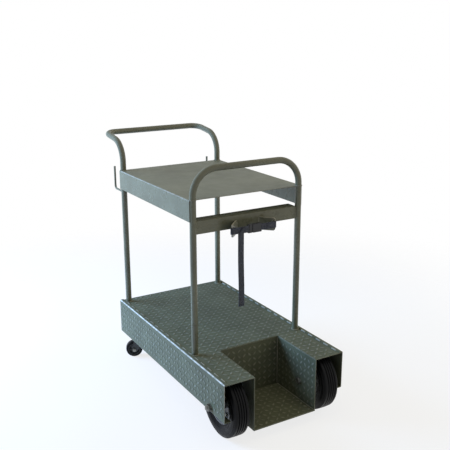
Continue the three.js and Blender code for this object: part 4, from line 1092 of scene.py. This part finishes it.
def loop_end(bar_x, front_y, bore, neck, side):
    """One end of a strap, from the main run's last point to the sewn end: round the bar until the ply
    heads back at a lean, straight down to the main run's back, then along it."""
    middle = bore + STRAP_THICKNESS / 2
    lean = math.atan2(bore, neck) + math.asin((bore + STRAP_THICKNESS) / math.hypot(bore, neck))
    angle = np.linspace(-math.pi / 2, math.pi / 2 + lean, LOOP_STEPS)
    centre_y = front_y + bore + STRAP_THICKNESS
    arc = np.column_stack((middle * np.cos(angle), centre_y + middle * np.sin(angle)))
    seat_y = front_y + STRAP_THICKNESS * 1.5 + PLY_GAP
    run = (arc[-1, 1] - seat_y) / math.tan(lean)
    kink = np.array((arc[-1, 0] - run, seat_y))
    end = kink - (SEWN_LENGTH, 0.0)
    ease = min(run, SEWN_LENGTH) * 0.35
    share = np.linspace(0, 1, 9)[:, None]
    before = kink + (arc[-1] - kink) * ease / np.linalg.norm(arc[-1] - kink)
    after = kink - (ease, 0.0)
    bend = (1 - share) ** 2 * before + 2 * share * (1 - share) * kink + share**2 * after
    path = np.vstack((arc, bend, end))
    path[:, 0] = bar_x + side * path[:, 0]
    return path


def ribbon(path, middle_z):
    """A flat section carried along a level path, with the metres along and across it."""
    step = np.gradient(path, axis=0)
    ways = unit(np.column_stack((step, np.zeros(len(path)))))
    points = np.column_stack((path, np.full(len(path), middle_z)))
    ups = np.broadcast_to((0.0, 0.0, 1.0), points.shape)
    section = rounded([
        (-STRAP_THICKNESS / 2, -STRAP_WIDTH / 2, 0.0005), (STRAP_THICKNESS / 2, -STRAP_WIDTH / 2, 0.0005),
        (STRAP_THICKNESS / 2, STRAP_WIDTH / 2, 0.0005), (-STRAP_THICKNESS / 2, STRAP_WIDTH / 2, 0.0005),
    ], steps=2)
    skin = carried(section, points, np.cross(ups, ways), ups)
    length = np.concatenate(([0.0], np.cumsum(np.linalg.norm(np.diff(path, axis=0), axis=1))))
    across = np.tile(counter_clockwise(section)[:, 1], len(path))
    flat = np.column_stack((across, np.repeat(length, len(section))))
    return skin, flat, length[-1]


def map_strap(piece, flat):
    """Writes each point's metres across and along into the piece's own UV map."""
    mesh = piece.data
    corner = np.empty(len(mesh.loops), np.int32)
    mesh.loops.foreach_get("vertex_index", corner)
    layer = mesh.uv_layers.new(name="strap")
    layer.data.foreach_set("uv", flat[corner].astype(np.float32).ravel())


left_low, left_high = box_of("left_strap")
right_low, right_high = box_of("right_strap")
strap_front = left_low[1]
strap_middle = (left_low[2] + left_high[2]) / 2
wing_bar_x = right_high[0] - WING_LOOP - STRAP_THICKNESS
plug_bar_x = left_high[0] - BUCKLE_LOOP - STRAP_THICKNESS
socket_bar_x = right_low[0] + BUCKLE_LOOP + STRAP_THICKNESS
strap_ends = {
    "left": (((-wing_bar_x, WING_LOOP, WING_NECK), (plug_bar_x, BUCKLE_LOOP, BUCKLE_NECK))),
    "right": (((socket_bar_x, BUCKLE_LOOP, BUCKLE_NECK), (wing_bar_x, WING_LOOP, WING_NECK))),
}
strap_lengths = {}
sewn_zones = []
straps = {}
for hand, (near, far) in strap_ends.items():
    loops = [loop_end(bar, strap_front, bore, neck, side)
             for (bar, bore, neck), side in ((near, -1), (far, 1))]
    path = np.vstack((loops[0][::-1], loops[1]))
    skin, flat, strap_lengths[hand] = ribbon(path, strap_middle)
    straps[hand] = make_piece(f"{hand}_webbing", skin, webbing, stands_for=(f"{hand}_strap",))
    map_strap(straps[hand], flat)
    sewn_zones += [loop[-2:, 0] for loop in loops]
print("strap lengths", {hand: round(length, 4) for hand, length in strap_lengths.items()})

# %% [markdown]
# The spare end leaves the buckle along the strap, folds over once at 45 degrees and hangs straight down.
# Webbing does not stretch, so the fold is worked out as one: the flat ribbon is wrapped half a turn
# round a thin cylinder whose axis lies at 45 degrees, which keeps every length in it.

# %% Hanging end
TAIL_LENGTH = 0.330
TAIL_LEAD = 0.014
TAIL_ROWS = 150
TAIL_COLUMNS = 13
FOLD_RADIUS = 0.0016
TAIL_CURL = 0.006
tail_low, tail_high = box_of("strap_tail")


def tail_surface():
    """Point (s, w) of the flat ribbon. Beyond the fold line by t it goes to sine(t / r) r out and one
    minus cosine(t / r) r forward, and past half a turn straight back on the other side."""
    s, w = np.meshgrid(np.linspace(0, TAIL_LENGTH, TAIL_ROWS),
                       np.linspace(-0.5, 0.5, TAIL_COLUMNS) * STRAP_WIDTH, indexing="ij")
    fold_at = TAIL_LEAD + STRAP_WIDTH / 2
    diagonal = math.sqrt(0.5)
    x, z = fold_at - s, w
    along_fold = diagonal * (-x - z)
    past_fold = diagonal * (-x + z)
    turn = np.clip(past_fold / FOLD_RADIUS, 0, math.pi)
    rest = np.maximum(past_fold - math.pi * FOLD_RADIUS, 0)
    out = np.minimum(past_fold, 0) + FOLD_RADIUS * np.sin(turn) - rest
    forward = FOLD_RADIUS * (1 - np.cos(turn))
    low_x = diagonal * (-along_fold - out)
    low_z = diagonal * (-along_fold + out)
    fall = np.clip((-low_z - STRAP_WIDTH / 2) / TAIL_LENGTH, 0, 1)
    curl = TAIL_CURL * (fall**2 - 0.45 * np.sin(2.4 * math.pi * fall) * fall)
    points = np.dstack((
        tail_high[0] - fold_at + low_x,
        (tail_low[1] + tail_high[1]) / 2 - forward - curl,
        strap_middle + low_z,
    )).reshape(-1, 3)
    faces = grid_faces(TAIL_ROWS, TAIL_COLUMNS, wrap_columns=False)
    flat = np.column_stack((w.ravel(), s.ravel()))
    return Skin(points, [faces], np.zeros(len(points))), flat


tail_skin, tail_flat = tail_surface()
tail = make_piece("hanging_webbing", tail_skin, webbing, stands_for=("strap_tail",))
map_strap(tail, tail_flat)
thick = tail.modifiers.new("thickness", "SOLIDIFY")
thick.thickness = STRAP_THICKNESS
thick.offset = 0.0
tail.modifiers.move(len(tail.modifiers) - 1, 0)
print("tail reaches down to", round(float(tail_skin.points[:, 2].min()), 3))

# %% Stitching
STITCH_LENGTH = 0.0026
STITCH_RADIUS = 0.00038
STITCH_PITCH = 0.0034
STITCH_INSET = 0.0028


def stitch():
    """A short thread: a circle that swells from nothing to full and back along its length."""
    share = np.linspace(0, 1, 7)
    path = np.column_stack(((share - 0.5) * STITCH_LENGTH, np.zeros((7, 2))))
    swell = 0.12 + np.sqrt(np.sin(math.pi * share))
    return carried(circle(STITCH_RADIUS, 6), path, np.tile((0.0, 1.0, 0.0), (7, 1)),
                   np.tile((0.0, 0.0, 1.0), (7, 1)), swell)


def stitch_line(start, end):
    """Middles and directions of stitches spaced evenly from start to end."""
    start, end = np.asarray(start), np.asarray(end)
    count = max(2, int(np.linalg.norm(end - start) / STITCH_PITCH))
    share = (np.arange(count) + 0.5) / count
    return start + share[:, None] * (end - start), np.tile(unit(end - start), (count, 1))


def sewn_box(zone, face_y):
    """Stitches round the edge of a sewn length and across both its diagonals."""
    left, right = sorted(zone)
    left, right = left + 0.0012, right - 0.0012
    low, high = (strap_middle + way * (STRAP_WIDTH / 2 - STITCH_INSET) for way in (-1, 1))
    corner = [np.array((x, face_y, z)) for x, z in ((left, low), (right, low), (right, high), (left, high))]
    pairs = ((0, 1), (1, 2), (2, 3), (3, 0), (0, 2), (1, 3))
    lines = [stitch_line(corner[a], corner[b]) for a, b in pairs]
    origins = np.vstack([line[0] for line in lines])
    ways = np.vstack([line[1] for line in lines])
    outward = np.tile((0.0, -1.0, 0.0), (len(ways), 1))
    return repeated(stitch(), origins, ways, np.cross(outward, ways), outward)


stitched_faces = (strap_front - 0.0001, strap_front + 2 * STRAP_THICKNESS + PLY_GAP + 0.0001)
for index, hand in enumerate(strap_ends):
    zones = sewn_zones[2 * index:2 * index + 2]
    sewing = joined(*[sewn_box(zone, face) for zone in zones for face in stitched_faces])
    make_piece(f"{hand}_stitching", sewing, thread)
softened_copy("socket_half", "buckle_socket", 0.0006, black_plastic, "chassis")
softened_copy("plug_half", "buckle_plug", 0.0004, black_plastic, "chassis")

# %% [markdown]
# ## Fasteners
# A hexagon head is a prism whose corners are cut off by a cone, so its surface is the smaller of two
# radii: the hexagon's at that angle, and the cone's at that height. A thread is a radius that falls and
# rises once for each turn and each pitch. Both are functions of an angle and a height.

# %% Bolts, nuts and washers
HEX_POINTS = 72


def hexagon(flats, low, high, chamfer_low=False):
    """A hexagon prism with a cone cut on its top, and on its bottom too if asked."""
    half = flats / 2
    angle = np.linspace(0, 2 * math.pi, HEX_POINTS, endpoint=False)
    corner = half / np.cos((angle % (math.pi / 3)) - math.pi / 6)
    fall = half * 0.16
    rise = np.array((0.0, 0.35, 0.7, 1.0))
    heights = np.concatenate((low + fall * rise, high - fall * rise[::-1]))
    cone = half * 0.93 + (heights[:, None] - low) * 1.6 if chamfer_low else np.full((8, 1), 1.0)
    cone = np.minimum(cone, half * 0.93 + (high - heights[:, None]) * 1.6)
    radius = np.minimum(corner[None], cone)
    points = np.dstack((radius * np.cos(angle), radius * np.sin(angle),
                        np.repeat(heights[:, None], HEX_POINTS, 1))).reshape(-1, 3)
    ends = [np.arange(HEX_POINTS)[None, ::-1], np.arange(HEX_POINTS)[None] + 7 * HEX_POINTS]
    wear = np.zeros(len(points))
    return Skin(points, [grid_faces(8, HEX_POINTS), *ends], wear)


def screw_thread(radius, pitch, low, high):
    """A rod whose radius dips by a little over half a pitch, once a turn and once a pitch."""
    angle = np.linspace(0, 2 * math.pi, 40, endpoint=False)
    rows = max(8, int((high - low) / pitch * 7))
    heights = np.linspace(low, high, rows)
    phase = (heights[:, None] / pitch - angle[None] / (2 * math.pi)) % 1
    depth = 0.55 * pitch * np.abs(2 * phase - 1)
    lead_in = np.clip((high - heights) / pitch, 0, 1)[:, None]
    reach = radius - depth - 0.5 * pitch * (1 - lead_in)
    points = np.dstack((reach * np.cos(angle), reach * np.sin(angle),
                        np.repeat(heights[:, None], 40, 1))).reshape(-1, 3)
    ends = [np.arange(40)[None, ::-1], np.arange(40)[None] + (rows - 1) * 40]
    return Skin(points, [grid_faces(rows, 40), *ends], np.zeros(len(points)))


def rod(radius, low, high, segments=40):
    """A plain round rod along Z."""
    return turned([(radius, low), (radius, high)], (0, 0, 0), (0, 0, 1), segments, capped=True)


def ring(inner, outer, low, high, edge, segments=64):
    """A ring along Z with rounded edges."""
    profile = rounded([(inner, low, edge), (outer, low, edge), (outer, high, edge), (inner, high, edge)], 3)
    return turned(profile, (0, 0, 0), (0, 0, 1), segments)


def facing(skin, origin, axis):
    """A skin made along Z, stood on an origin and turned along an axis."""
    return set_down(skin, origin, *axes_of(axis))


print("hexagon faces:", sum(len(face) for face in hexagon(0.024, 0, 0.01).faces))

# %% [markdown]
# ## Large wheels
# Each wheel is a pneumatic tyre on a rim pressed in two halves and bolted together, with a welded hub on
# two sealed bearings. All are profiles turned round the axle. The tyre's outside is a curve for each
# sidewall with thin ribs on it, and a tread whose radius dips at four grooves.

# %% Tyre, rim, hub and bearing profiles
TYRE_RADIUS = hinges["right_wheel_spin"]["pos_m"][2]
RIM_RADIUS = 0.068
RIM_LIP = 0.008
RIM_SHEET = 0.0025
BEAD_HALF = 0.024
TREAD_HALF = 0.025
TYRE_HALF = 0.033
GROOVES = np.array((-0.015, -0.005, 0.005, 0.015))
GROOVE_HALF = 0.0021
GROOVE_DEPTH = 0.0042
CROWN_DROP = 0.0008
SHOULDER = 0.002
SIDEWALL_RIBS = (0.080, 0.084, 0.088, 0.092, 0.114)
RIB_HEIGHT = 0.0009
RIB_HALF = 0.0009
WHEEL_SEGMENTS = 144


def tyre_outline():
    """From bead to bead: sidewall, tread, sidewall, then back inside the casing."""
    share = np.linspace(0, 1, 65)[:, None]
    lip = np.array((RIM_RADIUS + RIM_LIP, BEAD_HALF))
    edge = np.array((TYRE_RADIUS - SHOULDER, TREAD_HALF + SHOULDER))
    widest = np.array(((lip[0] + edge[0]) / 2, TYRE_HALF))
    pull = 2 * widest - (lip + edge) / 2
    flank = (1 - share) ** 2 * lip + 2 * share * (1 - share) * pull + share**2 * edge
    for rib in SIDEWALL_RIBS:
        flank[:, 1] += RIB_HEIGHT * np.exp(-((flank[:, 0] - rib) / RIB_HALF) ** 2)
    across = np.linspace(TREAD_HALF, -TREAD_HALF, 161)
    nearest = np.min(np.abs(across[:, None] - GROOVES), axis=1)
    dip = np.clip((GROOVE_HALF - nearest) / (GROOVE_HALF * 0.45), 0, 1)
    dip = dip * dip * (3 - 2 * dip)
    crown = TYRE_RADIUS - CROWN_DROP * (across / TREAD_HALF) ** 2 - GROOVE_DEPTH * dip
    tread = np.column_stack((crown, across))
    inside = np.array(((RIM_RADIUS + 0.0002, BEAD_HALF), (RIM_RADIUS + 0.0002, BEAD_HALF - 0.009),
                       (0.100, TYRE_HALF - 0.007), (TYRE_RADIUS - 0.013, TREAD_HALF - 0.007)))
    other = inside[::-1] * (1, -1)
    return np.vstack((flank, tread, flank[::-1] * (1, -1), other[::-1], inside[::-1]))


def rim_outline():
    """A pressed cup: disc against the other half, barrel under the bead, lip rolled over."""
    bead = BEAD_HALF + 0.0002
    lip = RIM_RADIUS + RIM_LIP
    return rounded([
        (0.0206, 0.0001), (RIM_RADIUS, 0.0001, 0.003), (RIM_RADIUS, bead, 0.0022), (lip, bead, 0.0008),
        (lip, bead + RIM_SHEET, 0.0012), (RIM_RADIUS - RIM_SHEET, bead + RIM_SHEET, 0.0045),
        (RIM_RADIUS - RIM_SHEET, 0.0026, 0.005), (0.0206, 0.0026),
    ])


def bearing_outline(width):
    """Outer race, sunk shield and inner race, on both faces."""
    sunk = 0.0009
    return np.array([
        (0.0086, 0), (0.0112, 0), (0.0114, sunk), (0.0142, sunk), (0.0144, 0), (0.0173, 0),
        (0.0173, width), (0.0144, width), (0.0142, width - sunk), (0.0114, width - sunk),
        (0.0112, width), (0.0086, width),
    ])


print("tyre outline points:", len(tyre_outline()))

# %% Wheels on their axles
RIM_BOLT_CIRCLE = 0.044
RIM_BOLT_COUNT = 5
RIM_BOLT_FLATS = 0.013
RIM_BOLT_HEAD = 0.0053
HUB_RADIUS = 0.0202
HUB_BORE = 0.0175
AXLE_RADIUS = 0.008
AXLE_FLATS = 0.024
AXLE_PITCH = 0.002
WASHER_RADIUS = 0.0150
WASHER_PLATE = 0.0025


def rim_bolts(centre, axis):
    """A ring of bolt heads on one face of the rim."""
    first, second, axis = axes_of(axis)
    bolt = joined(ring(0.003, 0.0085, 0.0, 0.0014, 0.0003, 32),
                  hexagon(RIM_BOLT_FLATS, 0.0012, 0.0012 + RIM_BOLT_HEAD))
    turn = np.arange(RIM_BOLT_COUNT) * 2 * math.pi / RIM_BOLT_COUNT
    spokes = np.cos(turn)[:, None] * first + np.sin(turn)[:, None] * second
    origins = centre + RIM_BOLT_CIRCLE * spokes + axis * 0.0026
    return repeated(bolt, origins, spokes, np.cross(axis, spokes), np.broadcast_to(axis, spokes.shape))


def valve(centre, axis):
    """A rubber stem with a cap, leaning out of the rim's disc."""
    first = axes_of(axis)[0]
    stem = turned([(0.0045, 0.0), (0.0038, 0.004), (0.003, 0.014), (0.003, 0.016), (0.0041, 0.0162),
                   (0.0041, 0.0235), (0.0032, 0.025)], (0, 0, 0), (0, 0, 1), 24, capped=True)
    return facing(stem, centre - first * 0.0545 + unit(axis) * 0.0022, unit(axis) - 0.12 * first)


for hand, side in (("left", -1), ("right", 1)):
    body = f"{hand}_wheel"
    centre = np.array(hinges[f"{hand}_wheel_spin"]["pos_m"])
    outward = np.array((side, 0.0, 0.0))
    tyre = turned(tyre_outline(), centre, outward, WHEEL_SEGMENTS)
    make_piece(f"{body}_casing", tyre, tyre_rubber, body, (f"{body}_tyre",))
    for face, way in (("outer", 1), ("inner", -1)):
        half_rim = joined(turned(rim_outline(), centre, way * outward, WHEEL_SEGMENTS))
        make_piece(f"{body}_rim_{face}_half", half_rim, wheel_enamel, body, (f"{body}_rim_{face}",))
        bolts = rim_bolts(centre, way * outward)
        make_piece(f"{body}_rim_{face}_bolts", bolts, zinc, body)
        low, high = box_of(f"{body}_bearing_{face}")
        start = low if side > 0 else high
        bearing = turned(bearing_outline(high[0] - low[0]), (start[0], centre[1], centre[2]), outward, 72)
        make_piece(f"{body}_bearing_{face}_race", bearing, zinc, body, (f"{body}_bearing_{face}",))
        low, high = box_of(f"{body}_spacer_{face}")
        spacer = facing(ring(0.0084, 0.0115, 0, high[0] - low[0], 0.0004),
                        (low[0], centre[1], centre[2]), (1, 0, 0))
        make_piece(f"{body}_spacer_{face}_tube", spacer, zinc, "chassis", (f"{body}_spacer_{face}",))
    low, high = box_of(f"{body}_hub")
    hub = facing(ring(HUB_BORE, HUB_RADIUS, 0, high[0] - low[0], 0.0006), (low[0], *centre[1:]), (1, 0, 0))
    make_piece(f"{body}_hub_tube", hub, zinc, body, (f"{body}_hub",))
    make_piece(f"{body}_valve", valve(centre, outward), tyre_rubber, body)
    low, high = box_of(f"{body}_axle_bolt")
    length = high[0] - low[0]
    head_end = low if side > 0 else high
    nut_low, nut_high = box_of(f"{body}_axle_nut")
    nut_height = nut_high[0] - nut_low[0]
    nut_start = abs(nut_low[0] if side > 0 else nut_high[0]) - abs(head_end[0])
    head = 0.010
    origin = np.array((head_end[0], centre[1], centre[2]))
    head_cap = set_down(hexagon(AXLE_FLATS, -head, 0.0), (0, 0, 0), (1, 0, 0), (0, -1, 0), (0, 0, -1))
    bolt = joined(head_cap, rod(AXLE_RADIUS, head, nut_start),
                  screw_thread(AXLE_RADIUS, AXLE_PITCH, nut_start - 0.001, length))
    make_piece(f"{body}_axle", facing(bolt, origin, outward), zinc, "chassis", (f"{body}_axle_bolt",))
    nut = joined(ring(0.0085, WASHER_RADIUS, 0.0, WASHER_PLATE, 0.0005),
                 hexagon(AXLE_FLATS, WASHER_PLATE, nut_height, chamfer_low=True))
    nut_origin = origin + outward * nut_start
    make_piece(f"{body}_nut", facing(nut, nut_origin, outward), zinc, "chassis", (f"{body}_axle_nut",))
print("wheel pieces so far:", len(pieces_made))

# %% [markdown]
# ## Casters
# A caster's top plate is bolted under the channel. Its fork turns on a pressed race about the kingpin,
# and its wheel is a hard rubber tread on a moulded core. The wheel trails behind the kingpin, so every
# turned piece of the wheel takes its axis from the hinge and not from the cart's own axes.

# %% Casters
CASTER_RADIUS = hinges["left_caster_spin"]["pos_m"][2]
CASTER_HALF = 0.016
CORE_RADIUS = 0.0271
PLATE_BOLT_AT = np.array((0.0375, 0.0255))
PLATE_BOLT_FLATS = 0.013


def caster_tread():
    """Hard rubber: a nearly flat crown with round shoulders on a straight bore."""
    return rounded([
        (CORE_RADIUS + 0.0002, -CASTER_HALF), (CASTER_RADIUS - 0.0012, -CASTER_HALF, 0.006),
        (CASTER_RADIUS, 0.0, 0.12), (CASTER_RADIUS - 0.0012, CASTER_HALF, 0.006),
        (CORE_RADIUS + 0.0002, CASTER_HALF),
    ], steps=10)


def caster_core():
    """Moulded core: a rim, a thin web and a boss that fills the fork."""
    boss = CASTER_HALF + 0.0022
    half = [(0.0053, boss), (0.0085, boss, 0.001), (0.0112, 0.006, 0.003), (0.0225, 0.005, 0.003),
            (0.0241, CASTER_HALF - 0.0006, 0.001), (CORE_RADIUS, CASTER_HALF - 0.0006)]
    other = [(corner[0], -corner[1], *corner[2:]) for corner in half[::-1]]
    return rounded(half + other, steps=4)


def core_ribs(centre, axis):
    """Six thin ribs on each face of the core, from boss to rim."""
    first, second, axis = axes_of(axis)
    turn = np.arange(6) * math.pi / 3
    spokes = np.cos(turn)[:, None] * first + np.sin(turn)[:, None] * second
    rib = plate([(0.009, -0.0012), (0.0245, -0.0012), (0.0245, 0.0012), (0.009, 0.0012)],
                -CASTER_HALF + 0.003, CASTER_HALF - 0.003, 0.0004)
    origins = np.broadcast_to(centre, spokes.shape)
    return repeated(rib, origins, spokes, np.cross(axis, spokes), np.broadcast_to(axis, spokes.shape))


for hand in ("left", "right"):
    name = f"{hand}_caster"
    spin = hinges[f"{name}_spin"]
    centre, axis = np.array(spin["pos_m"]), np.array(spin["axis"])
    tread = turned(caster_tread(), centre, axis, 96)
    make_piece(f"{name}_tyre", tread, caster_rubber, f"{name}_wheel", (f"{name}_tread",))
    core = joined(turned(caster_core(), centre, axis, 72), core_ribs(centre, axis))
    make_piece(f"{name}_hub", core, caster_plastic, f"{name}_wheel", (f"{name}_core",))
    softened_copy(f"{name}_yoke", f"{name}_fork", 0.0008, caster_steel, f"{hand}_swivel")
    pivot = np.array(hinges[f"{name}_swivel"]["pos_m"])
    low, high = box_of(f"{name}_race")
    depth = high[2] - low[2]
    race = turned(rounded([
        (0.0062, 0), (0.0228, 0, 0.002), (0.027, 0.0045, 0.0015), (0.027, depth, 0.001), (0.0062, depth),
    ]), (pivot[0], pivot[1], low[2]), (0, 0, 1), 72)
    make_piece(f"{name}_race_cup", race, caster_steel, "chassis", (f"{name}_race",))
    low, high = box_of(f"{name}_kingpin")
    pin = joined(hexagon(0.019, 0, 0.007, chamfer_low=True), rod(0.006, 0.0065, high[2] - low[2]))
    pin = pin._replace(points=pin.points + (pivot[0], pivot[1], low[2]))
    make_piece(f"{name}_pin", pin, zinc, "chassis", (f"{name}_kingpin",))
    low, high = box_of(f"{name}_plate")
    corner = 0.008
    outline = rounded([(low[0], low[1], corner), (high[0], low[1], corner),
                       (high[0], high[1], corner), (low[0], high[1], corner)])
    top_plate = plate(outline, low[2], high[2], 0.0006)
    make_piece(f"{name}_top_plate", top_plate, caster_steel, "chassis", (f"{name}_plate",))
    head = joined(ring(0.004, 0.009, -0.0016, 0.0, 0.0003, 32),
                  set_down(hexagon(PLATE_BOLT_FLATS, 0.0016, 0.0068), (0, 0, 0),
                           (1, 0, 0), (0, -1, 0), (0, 0, -1)))
    signs = np.array(((-1, -1), (1, -1), (1, 1), (-1, 1)))
    origins = np.column_stack((pivot[:2] + signs * PLATE_BOLT_AT, np.full(4, low[2])))
    same = [np.tile(way, (4, 1)) for way in ((1.0, 0, 0), (0, 1.0, 0), (0, 0, 1.0))]
    make_piece(f"{name}_plate_bolts", repeated(head, origins, *same), zinc, "chassis")
    bolt_low, bolt_high = (np.array([corner @ axis for corner in (
        np.array([v.co for v in frame["nodes"][f"{name}_{part}"].data.vertices]) - centre,)]).ravel()
        for part in ("axle_bolt", "axle_nut"))
    bolt_from, bolt_to = bolt_low.min(), bolt_low.max()
    nut_from, nut_to = bolt_high.min(), bolt_high.max()
    outward = axis if nut_to > 0 else -axis
    bolt_from, bolt_to = sorted((abs(bolt_from), abs(bolt_to)))
    nut_from, nut_to = sorted((abs(nut_from), abs(nut_to)))
    head_cap = set_down(hexagon(0.015, bolt_from - 0.006, bolt_from), (0, 0, 0),
                        (1, 0, 0), (0, -1, 0), (0, 0, -1))
    pin = joined(head_cap, rod(0.005, -bolt_from + 0.004, nut_from),
                 screw_thread(0.005, 0.0015, nut_from - 0.001, bolt_to))
    make_piece(f"{name}_axle", facing(pin, centre, outward), zinc, f"{hand}_swivel", (f"{name}_axle_bolt",))
    nut = facing(hexagon(0.015, nut_from, nut_to, chamfer_low=True), centre, outward)
    make_piece(f"{name}_nut", nut, zinc, f"{hand}_swivel", (f"{name}_axle_nut",))
print("pieces with casters:", len(pieces_made))

# %% [markdown]
# ## Welds
# A weld bead is a rod of metal laid down in small overlapping pools, so its thickness ripples along it.
# The deck is stitched to the skirts' flanges by short beads with gaps between them, and the tubes stand
# in a full ring. All are painted over with the rest, but the stitches take a much lighter enamel as a
# painted highlight along them.

# %% Weld beads
RIPPLE_PITCH = 0.0028
BEAD_POINTS = 10
STITCH_WELD = 0.030
STITCH_STEP = 0.050
WELD_RUB = 0.15


def bead(path, radius, closed=False):
    """A circle carried along a path, swelling and shrinking by a tenth once a ripple, and tapering to
    a point at open ends."""
    step = np.linalg.norm(np.diff(path, axis=0), axis=1)
    length = np.concatenate(([0.0], np.cumsum(step)))
    directions = unit(np.gradient(path, axis=0))
    ripple = 1 + 0.14 * np.cos(2 * math.pi * length / RIPPLE_PITCH)
    taper = np.ones(len(path))
    if not closed:
        taper = np.clip(np.minimum(length, length[-1] - length) / radius, 0.05, 1) ** 0.5
    return carried(circle(radius, BEAD_POINTS), path, *untwisted(directions), ripple * taper)


def straight_bead(start, end, radius):
    count = max(6, int(np.linalg.norm(np.subtract(end, start)) / RIPPLE_PITCH * 4))
    share = np.linspace(0, 1, count)[:, None]
    return bead(np.asarray(start) + share * np.subtract(end, start), radius)


def ring_bead(centre, around, radius):
    """A bead that runs once round a tube's foot."""
    angle = np.linspace(0, 2 * math.pi, 120)
    path = np.column_stack((around * np.cos(angle), around * np.sin(angle), np.zeros(120)))
    return bead(path + centre, radius, closed=True)


def stitch_welds(x, z):
    """Short beads along a flange's inner edge, with gaps between them."""
    starts = np.arange(skirt_low[1] + 0.02, skirt_high[1] - STITCH_WELD, STITCH_STEP)
    return [straight_bead((x, y, z), (x, y + STITCH_WELD, z), 0.0030) for y in starts]


flange_x, flange_z = flange_edge, deck_high[2] + 0.0012
stitches = joined(*stitch_welds(flange_x, flange_z), *stitch_welds(-flange_x, flange_z))
# The stitches take the lighter enamel, a painted highlight.
make_piece("flange_welds", stitches, highlit_weld_enamel)

beads = []
for x in (-upright_x, upright_x):
    for y in (hoop_y, handle_y):
        beads.append(ring_bead((x, y, foot_z + 0.0008), TUBE_RADIUS + 0.0006, 0.0026))
        beads.append(ring_bead((x, y, shelf_high[2] + 0.0004), TUBE_RADIUS + 0.0004, 0.0019))
    beads.append(straight_bead((x - math.copysign(TUBE_RADIUS, x), bar_low[1] - 0.0003, bar_low[2] + 0.002),
                               (x - math.copysign(TUBE_RADIUS, x), bar_low[1] - 0.0003, bar_high[2] - 0.002),
                               0.0022))
    root = (math.copysign(wing_start[0], x), wing_start[1])
    beads.append(straight_bead((*root, wing_low[2] + 0.003), (*root, wing_high[2] - 0.003), 0.0022))
    hook_low, hook_high = box_of("left_cable_hook" if x < 0 else "right_cable_hook")
    hook_ring = ring_bead((0, 0, 0), HOOK_ROD + 0.0006, 0.0018)
    beads.append(set_down(hook_ring, (x, hook_low[1] + 0.0008, hook_low[2] + HOOK_ROD),
                          (1, 0, 0), (0, 0, 1), (0, -1, 0)))
    wall_x = math.copysign(bay_half, x)
    beads.append(straight_bead((wall_x, platform_low[1] + 0.004, platform_high[2]),
                               (wall_x, bay_back - 0.004, platform_high[2]), 0.0022))
    beads.append(straight_bead((wall_x, bay_back, platform_high[2] + 0.004),
                               (wall_x, bay_back, deck_low[2] - 0.003), 0.0024))
frame_welds = joined(*beads)
frame_welds = frame_welds._replace(wear=np.full(len(frame_welds.points), WELD_RUB))
make_piece("frame_welds", frame_welds, smooth_enamel)
print("welds:", len(beads) + 28)

# %% [markdown]
# ## Size
# The skins must not make the cart any bigger. The box of the finished model is printed.

# %% Size
low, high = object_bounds()
print("pieces:", len(pieces_made), "box", [round(v, 4) for v in (*low, *high)])
